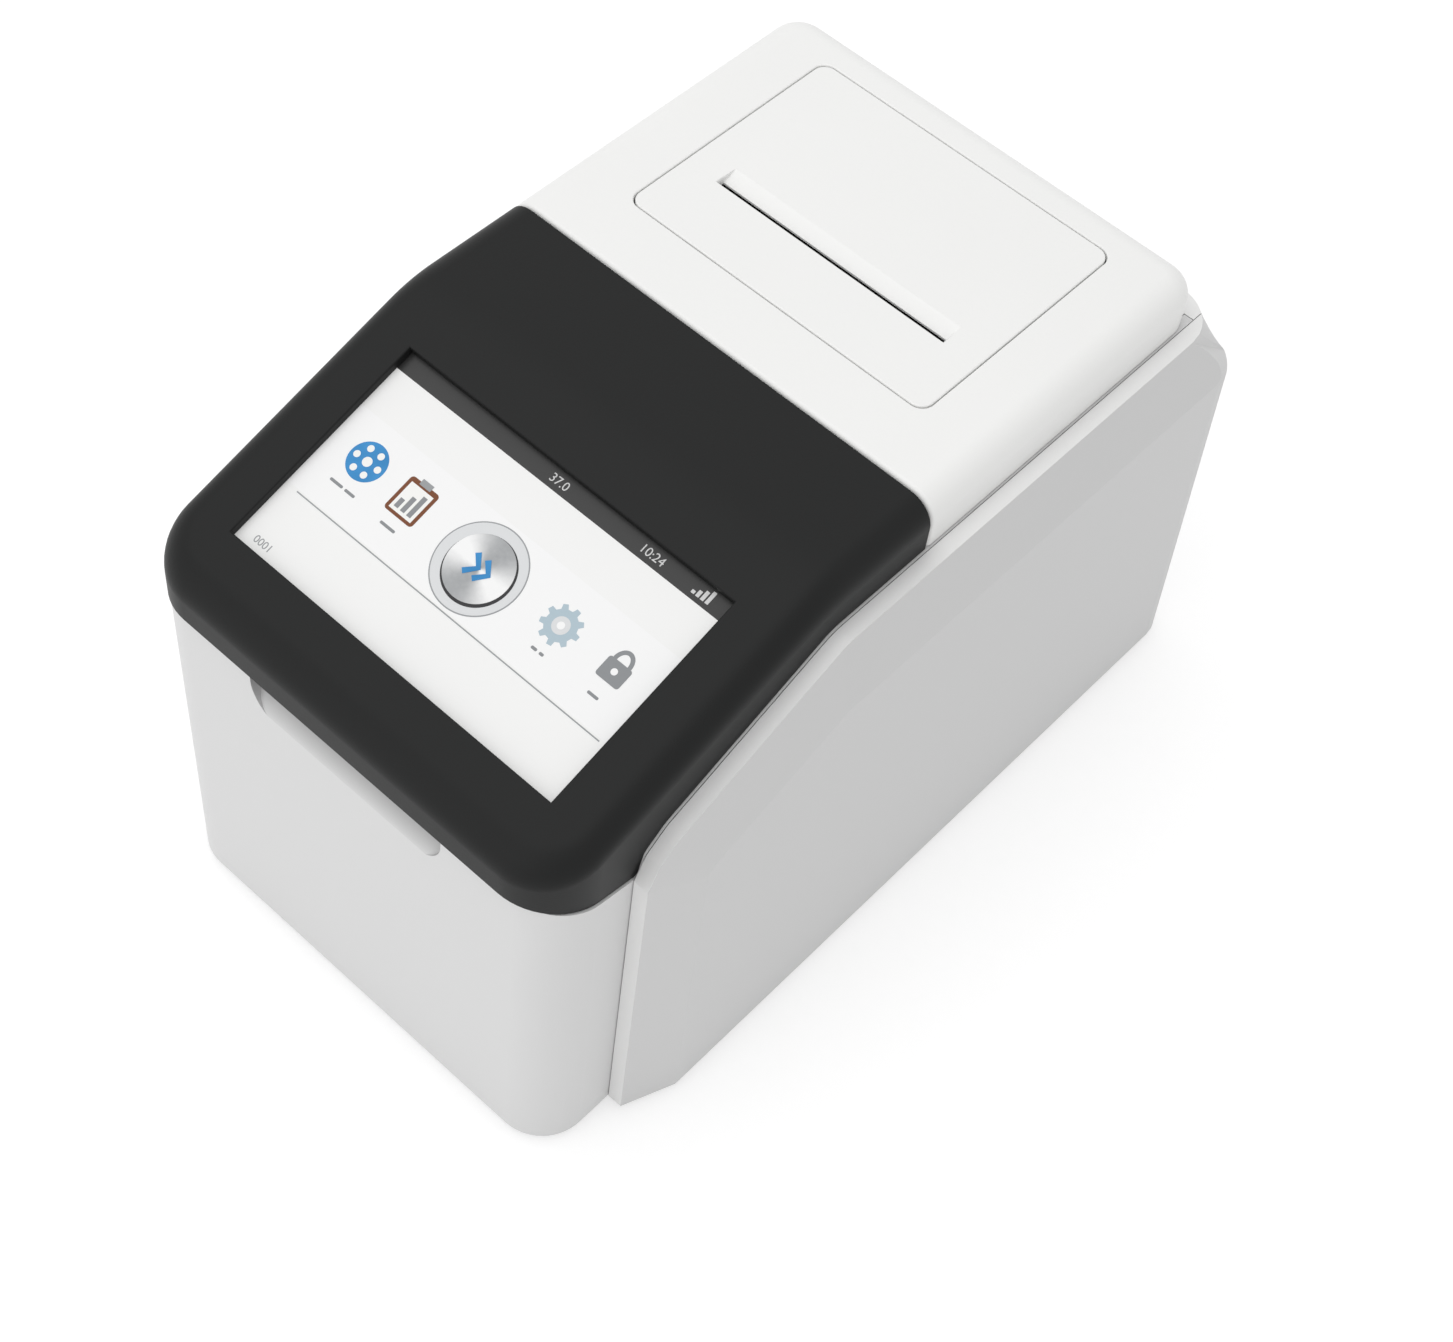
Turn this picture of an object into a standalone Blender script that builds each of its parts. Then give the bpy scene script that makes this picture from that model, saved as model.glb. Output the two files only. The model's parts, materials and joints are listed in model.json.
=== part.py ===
"""Desktop dry chemistry analyzer with a flip-up display lid and a receipt printer under a hatch.

Metres, +Z up. X runs to the right as seen from the front, the front faces -Y, and Z is zero
under the feet. The lid turns about an axis just behind the seam between visor and top cover.
"""

import bmesh
import bpy
import numpy as np
from math import acos, atan2, cos, hypot, pi, sin, sqrt, tan
from mathutils import Matrix, Vector

# Clearances and general values
FIT_GAP = 0.0003
RUN_GAP = 0.0001
SEAM_GAP = 0.0005
OVERRUN = 0.002
WELD_DISTANCE = 0.000001
SMOOTH_ANGLE = 0.6
FLAT_ANGLE = 0.001
ROUND_SIDES = 24
PIN_SIDES = 16

# Outer sizes
FOOT_HEIGHT = 0.0025
ROOF_Z = 0.1513
BODY_HALF = 0.0635
COVER_INSET = 0.0004
FACET_DEPTH = 0.0054
LEDGE_WIDTH = 0.0042
FRONT_Y = -0.1191
REAR_Y = 0.121
SEAM_Y = -0.0067
COVER_REAR_GAP = 0.0055
LEDGE_DROP = 0.0144
SHELL_WALL = 0.0022
HOUSING_WALL = 0.0025
FRONT_CORNER = 0.0126
COVER_CORNER = 0.010
ROOF_ROUND = 0.009
SEAM_ROUND = 0.0015
CORNER_STEPS = 5
ROUND_STEPS = 4
SEAM_STEPS = 2
EYE_STEPS = 6
LEG_SIDES = 8
ROLL_SIDES = 32
DISC_SIDES = 48

# Lid profile, seen from the side
LID_FLAT = 0.0331
NOSE_OVERHANG = 0.0019
LID_SLOPE = 0.3291
WINDOW_HEAD = 0.0136
WINDOW_FOOT = 0.0157
NOSE_EDGE_DROP = 0.0408
VISOR_CORNER = 0.015
SLOPE_START_SETBACK = 0.0023
SLOPE_END_SETBACK = 0.0078
SLOPE_END_DROP = 0.0348
CURVE_SETBACK = 0.0018
CURVE_DROP = 0.0398
CHEEK_SETBACK = 0.0262
CHEEK_DROP = 0.0468
WINDOW_MARGIN = 0.0061

# Side and rear panels
PANEL_LEAD = 0.0019
FACET_SETBACK = 0.0137
FACET_KINK_DROP = 0.001
FACET_BEND_LEAD = 0.0028
FACET_BEND_DROP = 0.0165
FACET_REAR_DROP = 0.0181
REAR_LEAN_DEPTH = 0.014
SHOULDER_DEPTH = 0.0095
REAR_CORNER = 0.011
REAR_WALL = 0.003
REAR_SHELF = 0.004
FACET_BLEND = 0.0015
BLEND_SHARE = 0.6
BLEND_MID_SHARE = 0.9
FACET_SHARES = (0.0, 0.3, 0.6, 0.85, 1.0)

# Finger scoop
SCOOP_HALF = 0.0295
SCOOP_DROP = 0.010
SCOOP_BACK_HEIGHT = 0.0185
SCOOP_DEPTH = 0.009
SCOOP_CORNER = 0.006
SCOOP_LIP_SHARE = 0.12

# Base, feet and inner plates
PLATE = 0.0015
FOOT_RADIUS = 0.007
FOOT_MARGIN = 0.0135
FOOT_FRONT_SETBACK = 0.0211
FOOT_REAR_SETBACK = 0.026
SHELF_WIDTH = 0.003
SHELF_HEIGHT = 0.003
DECK_DROP = 0.0085
DECK_THICK = 0.002
DRIVE_PLATE_DROP = 0.020
BULKHEAD_SETBACK = 0.0147
BULKHEAD_DROP = 0.0189

# Turntable and its drive
DISC_SETBACK = 0.0591
DISC_RADIUS = 0.044
DISC_DROP = 0.006
DISC_THICK = 0.0045
WELL_RADIUS = 0.0465
DISC_POCKETS = 12
POCKET_ORBIT = 0.035
POCKET_LENGTH = 0.011
POCKET_WIDTH = 0.009
POCKET_DEPTH = 0.0015
HUB_RADIUS = 0.007
HUB_HEIGHT = 0.0025
SHAFT_RADIUS = 0.003
SHAFT_DROP = 0.010
GEAR_MODULE = 0.001
RING_TEETH = 60
PINION_TEETH = 15
GEAR_WIDTH = 0.0045
GEAR_BACKLASH = 0.00028
PRESSURE_ANGLE = 0.349
DEDENDUM_SHARE = 1.25
FLANK_SHARES = (0.0, 0.35, 0.7, 1.0)
MOTOR_SIDE = 0.028
MOTOR_LENGTH = 0.024
MOTOR_SHAFT = 0.0025
HEATER_INNER = 0.0345
HEATER_WALL = 0.0085
HEATER_HEIGHT = 0.008
HEATER_MOUTH = 0.024
HEATER_LEG = 0.006
HEATER_LEG_TURN = 2.0
BEARING_RADIUS = 0.008
BEARING_FLANGE = 0.011

# Lid hinge
HINGE_SETBACK = 0.0082
HINGE_DROP = 0.005
HINGE_INSET = 0.0021
ARM_THICK = 0.003
ARM_EYE = 0.0024
ARM_HALF = 0.0016
PIN_RADIUS = 0.00125
BRACKET_THICK = 0.002
BRACKET_DEPTH = 0.0045
BRACKET_DROP = 0.0493
ARM_PAD_LENGTH = 0.014
ARM_PAD_WIDTH = 0.008
ARM_NECK = 0.004
ARM_TURN = 0.002
ARM_DROP = 0.010
ARM_REACH = 0.014
ARM_TURN_SHARE = 0.9
ARM_LOW_SHARE = 0.57
ARM_RISE_SHARE = 0.93
ARM_BEND_SHARE = 0.6
BRACKET_FOOT = 0.012

# Printer hatch
HATCH_MARGIN = 0.0101
HATCH_SETBACK = 0.0185
HATCH_REAR_MARGIN = 0.0026
HATCH_GAP = 0.0006
HATCH_CORNER = 0.0035
HATCH_AXIS_INSET = 0.008
HATCH_AXIS_DROP = 0.003
HATCH_EYE = 0.0021
HATCH_PIN = 0.001
LUG_THICK = 0.003
LUG_INSET = 0.0035
BOSS_GAP = 0.0009
SLOT_INSET = 0.010
SLOT_SETBACK = 0.0192
SLOT_WIDTH = 0.0065
SLIT_WIDTH = 0.0022

# Printer
ROLL_RADIUS = 0.0165
ROLL_INSET = 0.0155
ROLL_CORE = 0.006
ROLL_SETBACK = 0.0197
ROLL_DROP = 0.0288
FRAME_INSET = 0.004
FRAME_WALL = 0.002
FRAME_LEAD = 0.0145
FRAME_REAR_GAP = 0.0004
FRAME_DROP = 0.0513
PRINT_GAP = 0.001
FRAME_CHEEK_DROP = 0.0098
PLATEN_RADIUS = 0.0045
PLATEN_INSET = 0.015
PLATEN_SETBACK = 0.0055
PLATEN_DROP = 0.0133
PLATEN_SHAFT = 0.0015
PRINT_GEAR_MODULE = 0.0008
PLATEN_TEETH = 20
PRINT_TEETH = 12
PRINT_GEAR_WIDTH = 0.003
PRINT_MOTOR_RADIUS = 0.0068
PRINT_MOTOR_LENGTH = 0.020
HEAD_THICK = 0.004
HEAD_HEIGHT = 0.012

# Electronics and rear fittings
BOARD_THICK = 0.0016
STANDOFF = 0.005
STANDOFF_RADIUS = 0.0025
BOARD_MARGIN = 0.0095
BOARD_CENTRE_GAP = 0.002
BOARD_SETBACK = 0.008
BOARD_REAR_GAP = 0.021
SUPPLY_MARGIN = 0.0085
SUPPLY_CENTRE_GAP = 0.013
SUPPLY_REAR_GAP = 0.031
SUPPLY_HEIGHT = 0.034
SHEET_METAL = 0.0012
FAN_SIDE = 0.040
FAN_DEPTH = 0.010
FAN_SHARE = -0.4724
FAN_V = 0.075
FAN_BORE = 0.0185
FAN_HUB = 0.008
FAN_BLADES = 7
FAN_WALL = 0.001
VENT_SLOTS = 8
VENT_WIDTH = 0.0022
INLET_SHARE = 0.5669
INLET_V = 0.021
INLET_HALF_U = 0.0138
INLET_HALF_V = 0.0098
INLET_DEPTH = 0.018
INLET_CAVITY_INSET = 0.0022
SWITCH_V = 0.042
SWITCH_HALF_U = 0.0105
SWITCH_HALF_V = 0.0075
SWITCH_DEPTH = 0.012
ROCKER_SWING = 0.20944
ROCKER_FOOT_SHARE = 0.8
ROCKER_MARGIN = 0.0013
ROCKER_CREST = 0.0015
ROCKER_DEPTH = 0.005
ROCKER_SINK = 0.0005
FAN_PITCH = 0.6
BLADE_HALF_SHARE = 0.45
BLADE_ROOT_SHARE = 0.8
CHIP_SIDE = 0.014
CHIP_HEIGHT = 0.002
CHIP_SHARES = ((-0.4, 0.3, 1.0), (0.35, 0.45, 0.7), (-0.1, 0.7, 0.5))
PORT_V = 0.0165
NETWORK_SHARE = -0.6929
NETWORK_HALF_U = 0.008
NETWORK_HALF_V = 0.0065
USB_SHARE = -0.4094
USB_HALF_U = 0.0068
USB_HALF_V = 0.0036
SERIAL_SHARE = -0.0472
SERIAL_HALF_U = 0.0095
SERIAL_HALF_V = 0.0055
PORT_DEPTH = 0.014
PORT_WALL = 0.001
USB_WALL_SHARE = 0.7
SWITCH_WALL_SHARE = 0.8

# Display and the parts carried by the lid
GLASS_EXTRA = 0.0035
GLASS_THICK = 0.0018
DISPLAY_THICK = 0.0045
DISPLAY_BOARD_GAP = 0.0015
TRAY_WALL = 0.0015
SENSOR_SIZE = 0.006
SENSOR_MARGIN = 0.0185
MAGNET_THICK = 0.002
HEAD_MARGIN = 0.0205
HEAD_HALF_X = 0.0125
HEAD_HALF_Y = 0.011
HEAD_BLOCK_HEIGHT = 0.013
LENS_RADIUS = 0.0035
LAMP_SIZE = 0.014
LAMP_HEIGHT_SHARE = 0.8
LAMP_MARGIN = 0.0065
LAMP_SETBACK = 0.0141
RUN_CLEAR = 0.0008

# Places that follow from the sizes above
COVER_HALF = BODY_HALF - COVER_INSET
LEDGE_HALF = BODY_HALF + LEDGE_WIDTH
PANEL_HALF = LEDGE_HALF + FACET_DEPTH
LEDGE_Z = ROOF_Z - LEDGE_DROP
REAR_SHOULDER_Y = REAR_Y - REAR_LEAN_DEPTH
REAR_TOP_Y = REAR_SHOULDER_Y - SHOULDER_DEPTH
COVER_REAR_Y = REAR_TOP_Y - COVER_REAR_GAP
LID_REAR_Y = SEAM_Y - SEAM_GAP
NOSE_Y = FRONT_Y - NOSE_OVERHANG
CREASE_Y = LID_REAR_Y - LID_FLAT
SLOPE = tan(LID_SLOPE)
SLOPE_LENGTH = (CREASE_Y - NOSE_Y) / cos(LID_SLOPE)
WINDOW_LENGTH = SLOPE_LENGTH - WINDOW_HEAD - WINDOW_FOOT
WINDOW_TOP_Y = CREASE_Y - WINDOW_HEAD * cos(LID_SLOPE)
WINDOW_TOP_Z = ROOF_Z - WINDOW_HEAD * sin(LID_SLOPE)
WINDOW_LOW_Y = WINDOW_TOP_Y - WINDOW_LENGTH * cos(LID_SLOPE)
WINDOW_HALF = COVER_HALF - ROOF_ROUND - WINDOW_MARGIN
NOSE_TOP_Z = ROOF_Z - SLOPE_LENGTH * sin(LID_SLOPE)
NOSE_EDGE_Z = ROOF_Z - NOSE_EDGE_DROP
CHEEK_Y = NOSE_Y + CHEEK_SETBACK
CHEEK_Z = ROOF_Z - CHEEK_DROP
CURVE_Y = CHEEK_Y + CURVE_SETBACK
CURVE_Z = ROOF_Z - CURVE_DROP
SLOPE_END_Y = CHEEK_Y + SLOPE_END_SETBACK
SLOPE_END_Z = ROOF_Z - SLOPE_END_DROP
SLOPE_START_Y = CREASE_Y + SLOPE_START_SETBACK
COVER_LOW_Z = LEDGE_Z + SEAM_GAP
PANEL_FRONT_Y = CHEEK_Y - PANEL_LEAD
FACET_FRONT_Y = PANEL_FRONT_Y + FACET_SETBACK
FACET_KINK_Z = CHEEK_Z - FACET_KINK_DROP
FACET_BEND_Y = SLOPE_START_Y - FACET_BEND_LEAD
FACET_BEND_Z = LEDGE_Z - FACET_BEND_DROP
FACET_REAR_Z = LEDGE_Z - FACET_REAR_DROP
SCOOP_LOW_Z = CHEEK_Z - SCOOP_DROP
SCOOP_TOP_Z = SCOOP_LOW_Z + SCOOP_BACK_HEIGHT
FOOT_X = BODY_HALF - FOOT_MARGIN
FOOT_FRONT_Y = FRONT_Y + FOOT_FRONT_SETBACK
FOOT_REAR_Y = REAR_Y - FOOT_REAR_SETBACK
DECK_Z = CHEEK_Z - DECK_DROP
DRIVE_PLATE_Z = DECK_Z - DRIVE_PLATE_DROP
BULKHEAD_Y = SEAM_Y + BULKHEAD_SETBACK
BULKHEAD_TOP_Z = LEDGE_Z - BULKHEAD_DROP
DISC_Y = FRONT_Y + DISC_SETBACK
DISC_Z = DECK_Z - DISC_DROP
SHAFT_LOW_Z = DRIVE_PLATE_Z - SHAFT_DROP
HINGE_Y = SEAM_Y + HINGE_SETBACK
HINGE_X = COVER_HALF - ROOF_ROUND - HINGE_INSET
BRACKET_LOW_Z = ROOF_Z - BRACKET_DROP
HATCH_HALF = COVER_HALF - ROOF_ROUND - HATCH_MARGIN
HATCH_FRONT_Y = SEAM_Y + HATCH_SETBACK
HATCH_REAR_Y = COVER_REAR_Y - ROOF_ROUND - HATCH_REAR_MARGIN
LUG_X = HATCH_HALF - LUG_INSET
SLOT_HALF = HATCH_HALF - SLOT_INSET
SLOT_FRONT_Y = HATCH_FRONT_Y + SLOT_SETBACK
SLOT_REAR_Y = SLOT_FRONT_Y + SLOT_WIDTH
ROLL_HALF = HATCH_HALF - ROLL_INSET
ROLL_Y = HATCH_REAR_Y - ROLL_SETBACK
ROLL_Z = ROOF_Z - ROLL_DROP
FRAME_HALF = HATCH_HALF - FRAME_INSET
PLATEN_Y = SLOT_FRONT_Y + PLATEN_SETBACK
PLATEN_Z = ROOF_Z - PLATEN_DROP
PLATEN_HALF = HATCH_HALF - PLATEN_INSET
FRAME_FRONT_Y = PLATEN_Y - FRAME_LEAD
FRAME_REAR_Y = HATCH_REAR_Y - FRAME_REAR_GAP
FRAME_LOW_Z = ROOF_Z - FRAME_DROP
FRAME_TOP_Z = ROOF_Z - FRAME_CHEEK_DROP
BOARD_HALF_X = (BODY_HALF - BOARD_MARGIN - BOARD_CENTRE_GAP) / 2
BOARD_X = -BOARD_CENTRE_GAP - BOARD_HALF_X
BOARD_FRONT_Y = BULKHEAD_Y + BOARD_SETBACK
BOARD_REAR_Y = REAR_Y - BOARD_REAR_GAP
SUPPLY_HALF_X = (BODY_HALF - SUPPLY_MARGIN - SUPPLY_CENTRE_GAP) / 2
SUPPLY_X = SUPPLY_CENTRE_GAP + SUPPLY_HALF_X
SUPPLY_REAR_Y = REAR_Y - SUPPLY_REAR_GAP
FAN_U = BODY_HALF * FAN_SHARE
INLET_U = BODY_HALF * INLET_SHARE
NETWORK_U = BODY_HALF * NETWORK_SHARE
USB_U = BODY_HALF * USB_SHARE
SERIAL_U = BODY_HALF * SERIAL_SHARE
GLASS_HALF = WINDOW_HALF + GLASS_EXTRA
TRAY_HALF = GLASS_HALF + FIT_GAP + TRAY_WALL
SENSOR_X = BODY_HALF - SENSOR_MARGIN
HEAD_X = HEAD_MARGIN - BODY_HALF
LAMP_X = LAMP_MARGIN - BODY_HALF
LAMP_Y = FRONT_Y + LAMP_SETBACK
BASE_TOP_Z = FOOT_HEIGHT + FIT_GAP + PLATE
HINGE_Z = ROOF_Z - HINGE_DROP
REAR_LEAN = atan2(REAR_LEAN_DEPTH, FACET_REAR_Z - FOOT_HEIGHT)
HATCH_AXIS_Y = HATCH_REAR_Y - HATCH_AXIS_INSET
HATCH_AXIS_Z = ROOF_Z - HATCH_AXIS_DROP
GEAR_CENTRES = GEAR_MODULE * (RING_TEETH + PINION_TEETH) / 2
PINION_Y = DISC_Y + GEAR_CENTRES
PRINT_GEAR_CENTRES = PRINT_GEAR_MODULE * (PLATEN_TEETH + PRINT_TEETH) / 2

PARTS = bpy.data.collections.new("dry_chemistry_analyzer")
CUTTERS = bpy.data.collections.new("cutters")


def clear_scene():
    for obj in list(bpy.data.objects):
        bpy.data.objects.remove(obj)
    for collection in (PARTS, CUTTERS):
        bpy.context.scene.collection.children.link(collection)


def material(name, colour, roughness, metallic=0.0):
    made = bpy.data.materials.get(name)
    if made is None:
        made = bpy.data.materials.new(name)
        made.use_nodes = True
        shader = made.node_tree.nodes["Principled BSDF"]
        shader.inputs["Base Color"].default_value = (*colour, 1)
        shader.inputs["Roughness"].default_value = roughness
        shader.inputs["Metallic"].default_value = metallic
    return made


FINISHES = {
    "white": ((0.86, 0.86, 0.85), 0.45),
    "white_hidden": ((0.7, 0.7, 0.69), 0.6),
    "grey_panel": ((0.56, 0.56, 0.56), 0.5),
    "dark_visor": ((0.032, 0.033, 0.033), 0.42),
    "dark_inner": ((0.02, 0.02, 0.02), 0.6),
    "glass": ((0.7, 0.71, 0.72), 0.1),
    "circuit": ((0.03, 0.16, 0.07), 0.5),
    "steel": ((0.55, 0.56, 0.57), 0.35, 0.9),
    "aluminium": ((0.7, 0.7, 0.71), 0.4, 0.9),
    "brass": ((0.7, 0.53, 0.2), 0.35, 0.9),
    "rubber": ((0.02, 0.02, 0.02), 0.85),
    "paper": ((0.85, 0.85, 0.83), 0.8),
    "black_plastic": ((0.03, 0.03, 0.03), 0.5),
    "gear_plastic": ((0.75, 0.74, 0.7), 0.5),
}


def adopt(obj, name, finish, round_piece=False):
    """Names a finished object, gives it its material and puts it among the parts."""
    obj.name = name
    obj.data.name = name
    obj.data.materials.clear()
    obj.data.materials.append(material(finish, *FINISHES[finish]))
    for collection in list(obj.users_collection):
        collection.objects.unlink(obj)
    PARTS.objects.link(obj)
    if round_piece:
        obj.data.shade_smooth()
        obj.data.set_sharp_from_angle(angle=SMOOTH_ANGLE)
    return obj


def bake(obj):
    """Puts location, rotation and scale into the mesh."""
    obj.data.transform(obj.matrix_basis)
    obj.matrix_basis = Matrix()
    return obj


def box(low, high):
    """A box between two corners."""
    bpy.ops.mesh.primitive_cube_add(size=1)
    obj = bpy.context.active_object
    obj.location = [(a + b) / 2 for a, b in zip(low, high)]
    obj.scale = [b - a for a, b in zip(low, high)]
    return bake(obj)


AXIS_TURN = {"X": Matrix.Rotation(pi / 2, 4, "Y"), "Y": Matrix.Rotation(-pi / 2, 4, "X"), "Z": Matrix()}


def rod(radius, centre, low, high, axis="Z", sides=ROUND_SIDES):
    """A cylinder along an axis from low to high. centre gives its other two places, in XYZ order."""
    bpy.ops.mesh.primitive_cylinder_add(vertices=sides, radius=radius, depth=high - low)
    obj = bpy.context.active_object
    place = list(centre)
    place.insert("XYZ".index(axis), (low + high) / 2)
    obj.matrix_basis = Matrix.Translation(place) @ AXIS_TURN[axis]
    return bake(obj)


def plate(outline, low, high, axis="X"):
    """A flat outline given thickness along an axis. The outline's points are (y, z), (x, z) or (x, y)."""
    curve = bpy.data.curves.new("outline", "CURVE")
    curve.dimensions = "2D"
    curve.fill_mode = "BOTH"
    curve.extrude = (high - low) / 2
    spline = curve.splines.new("POLY")
    spline.points.add(len(outline) - 1)
    for point, (u, v) in zip(spline.points, outline):
        point.co = (u, v, 0, 1)
    spline.use_cyclic_u = True
    flat = bpy.data.objects.new("outline", curve)
    bpy.context.scene.collection.objects.link(flat)
    bpy.context.view_layer.update()
    graph = bpy.context.evaluated_depsgraph_get()
    mesh = bpy.data.meshes.new_from_object(flat.evaluated_get(graph))
    solid = bpy.data.objects.new("plate", mesh)
    bpy.context.scene.collection.objects.link(solid)
    bpy.data.objects.remove(flat)
    shaped = bmesh.new()
    shaped.from_mesh(mesh)
    bmesh.ops.remove_doubles(shaped, verts=shaped.verts, dist=WELD_DISTANCE)
    bmesh.ops.dissolve_limit(shaped, angle_limit=FLAT_ANGLE, verts=shaped.verts, edges=shaped.edges)
    turn = {
        "X": Matrix(((0, 0, 1, 0), (1, 0, 0, 0), (0, 1, 0, 0), (0, 0, 0, 1))),
        "Y": Matrix(((1, 0, 0, 0), (0, 0, 1, 0), (0, 1, 0, 0), (0, 0, 0, 1))),
        "Z": Matrix(),
    }[axis]
    middle = [0, 0, 0]
    middle["XYZ".index(axis)] = (low + high) / 2
    shaped.transform(Matrix.Translation(middle) @ turn)
    shaped.normal_update()
    if shaped.calc_volume(signed=True) < 0:
        bmesh.ops.reverse_faces(shaped, faces=shaped.faces)
    shaped.to_mesh(mesh)
    shaped.free()
    return solid


def boolean(obj, other, operation):
    step = obj.modifiers.new(operation.lower(), "BOOLEAN")
    step.operation = operation
    step.solver = "EXACT"
    step.object = other
    for collection in list(other.users_collection):
        collection.objects.unlink(other)
    CUTTERS.objects.link(other)
    other.hide_render = True
    other.display_type = "WIRE"
    return obj


def cut(obj, *cutters):
    for cutter in cutters:
        boolean(obj, cutter, "DIFFERENCE")
    return obj


def add(obj, *others):
    for other in others:
        boolean(obj, other, "UNION")
    return obj


def settle(obj):
    """Applies the modifiers, and removes the helpers that they used."""
    helpers = [step.object for step in obj.modifiers if step.type == "BOOLEAN"]
    bpy.context.view_layer.update()
    graph = bpy.context.evaluated_depsgraph_get()
    mesh = bpy.data.meshes.new_from_object(obj.evaluated_get(graph))
    obj.modifiers.clear()
    obj.data = mesh
    for helper in helpers:
        bpy.data.objects.remove(helper)
    return obj


def mirrored(obj, name):
    """A copy of a finished piece, mirrored across X."""
    twin = obj.copy()
    twin.data = obj.data.copy()
    PARTS.objects.link(twin)
    twin.name = name
    twin.data.name = name
    twin.data.transform(Matrix.Scale(-1, 4, (1, 0, 0)))
    twin.data.flip_normals()
    return twin


def arc(centre, radius, start, end, steps):
    """Points on an arc, angles in radians, both ends included."""
    return [
        (
            centre[0] + radius * cos(start + (end - start) * k / steps),
            centre[1] + radius * sin(start + (end - start) * k / steps),
        )
        for k in range(steps + 1)
    ]


def rounded(outline, radius, steps=CORNER_STEPS):
    """The outline with each corner rounded by a radius, or by one radius for each corner."""
    radii = radius if isinstance(radius, (list, tuple)) else [radius] * len(outline)
    points = []
    for k, here in enumerate(outline):
        here = Vector(here)
        before = Vector(outline[k - 1])
        after = Vector(outline[(k + 1) % len(outline)])
        if radii[k] == 0:
            points.append(tuple(here))
            continue
        first = (before - here).normalized()
        second = (after - here).normalized()
        half = first.angle(second) / 2
        centre = here + (first + second).normalized() * radii[k] / sin(half)
        a = here + first * radii[k] / tan(half) - centre
        b = here + second * radii[k] / tan(half) - centre
        start = atan2(a.y, a.x)
        sweep = atan2(a.x * b.y - a.y * b.x, a.dot(b))
        points += arc(centre, radii[k], start, start + sweep, steps)
    return points


def band(path, half_width):
    """The outline of a bar of even width along a path in a plane."""
    left, right = [], []
    for k, here in enumerate(path):
        here = Vector(here)
        before = Vector(path[max(k - 1, 0)])
        after = Vector(path[min(k + 1, len(path) - 1)])
        along = (here - before).normalized() + (after - here).normalized()
        normal = Vector((-along.y, along.x)).normalized()
        straight = (after - here).normalized() if k < len(path) - 1 else (here - before).normalized()
        across = Vector((-straight.y, straight.x))
        reach = half_width / max(normal.dot(across), 0.5)
        left.append(tuple(here + normal * reach))
        right.append(tuple(here - normal * reach))
    return left + right[::-1]


def rectangle(low, high):
    return [(low[0], low[1]), (high[0], low[1]), (high[0], high[1]), (low[0], high[1])]


def bevel_edges(obj, chosen, width, steps):
    """Rounds the edges for which chosen(edge) is true."""
    shaped = bmesh.new()
    shaped.from_mesh(obj.data)
    shaped.normal_update()
    edges = [edge for edge in shaped.edges if chosen(edge)]
    bmesh.ops.bevel(shaped, geom=edges, offset=width, offset_type="OFFSET", segments=steps,
                    profile=0.5, affect="EDGES", material=-1, clamp_overlap=True)
    shaped.to_mesh(obj.data)
    shaped.free()
    return obj


def lid_edge_z(y):
    """Height of the lid's lower edge over the nose."""
    share = (y - CHEEK_Y) / (NOSE_Y - CHEEK_Y)
    return CHEEK_Z + share * (NOSE_EDGE_Z - CHEEK_Z)


def slope_z(y, sink=0.0):
    """Height of the lid's sloping face, or of a plane sunk below it."""
    return WINDOW_TOP_Z + SLOPE * (y - WINDOW_TOP_Y) - sink * hypot(1, SLOPE)


def rounded_block(outline, half, corner_y, corner_radius, roof_radius, open_y):
    """A block with the side outline given, its upright corners at corner_y and its roof edges rounded."""
    block = plate(outline, -half, half)

    def upright(edge):
        places = [vertex.co for vertex in edge.verts]
        at_corner = all(abs(p.y - corner_y) < WELD_DISTANCE for p in places)
        same_side = abs(places[0].x - places[1].x) < WELD_DISTANCE
        return at_corner and same_side and edge.calc_length() > WELD_DISTANCE

    def roof(edge):
        if all(abs(vertex.co.y - open_y) < WELD_DISTANCE for vertex in edge.verts):
            return False
        lifts = sorted(face.normal.z for face in edge.link_faces)
        return len(lifts) == 2 and lifts[0] < 0.5 < lifts[1] and lifts[0] > -0.5

    bevel_edges(block, upright, corner_radius, CORNER_STEPS)
    return bevel_edges(block, roof, roof_radius, ROUND_STEPS)


def seam_edges(seam_y, low_z):
    """Chooses the edges round an open end, but not the one along the bottom."""

    def chosen(edge):
        at_seam = all(abs(vertex.co.y - seam_y) < WELD_DISTANCE for vertex in edge.verts)
        return at_seam and not all(abs(vertex.co.z - low_z) < WELD_DISTANCE for vertex in edge.verts)

    return chosen


def roofline():
    """The lid's lower edge from the nose to the seam, as (y, z) points."""
    return [
        (NOSE_Y, NOSE_EDGE_Z),
        (CHEEK_Y, CHEEK_Z),
        (CURVE_Y, CURVE_Z),
        (SLOPE_END_Y, SLOPE_END_Z),
        (SLOPE_START_Y, COVER_LOW_Z),
    ]


def rear_line(setback):
    """The rear face from the ledge down to the bottom, moved forward by a setback."""
    return [
        (REAR_TOP_Y - setback, LEDGE_Z),
        (REAR_SHOULDER_Y - setback, FACET_REAR_Z),
        (REAR_Y - setback, FOOT_HEIGHT),
    ]


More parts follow.
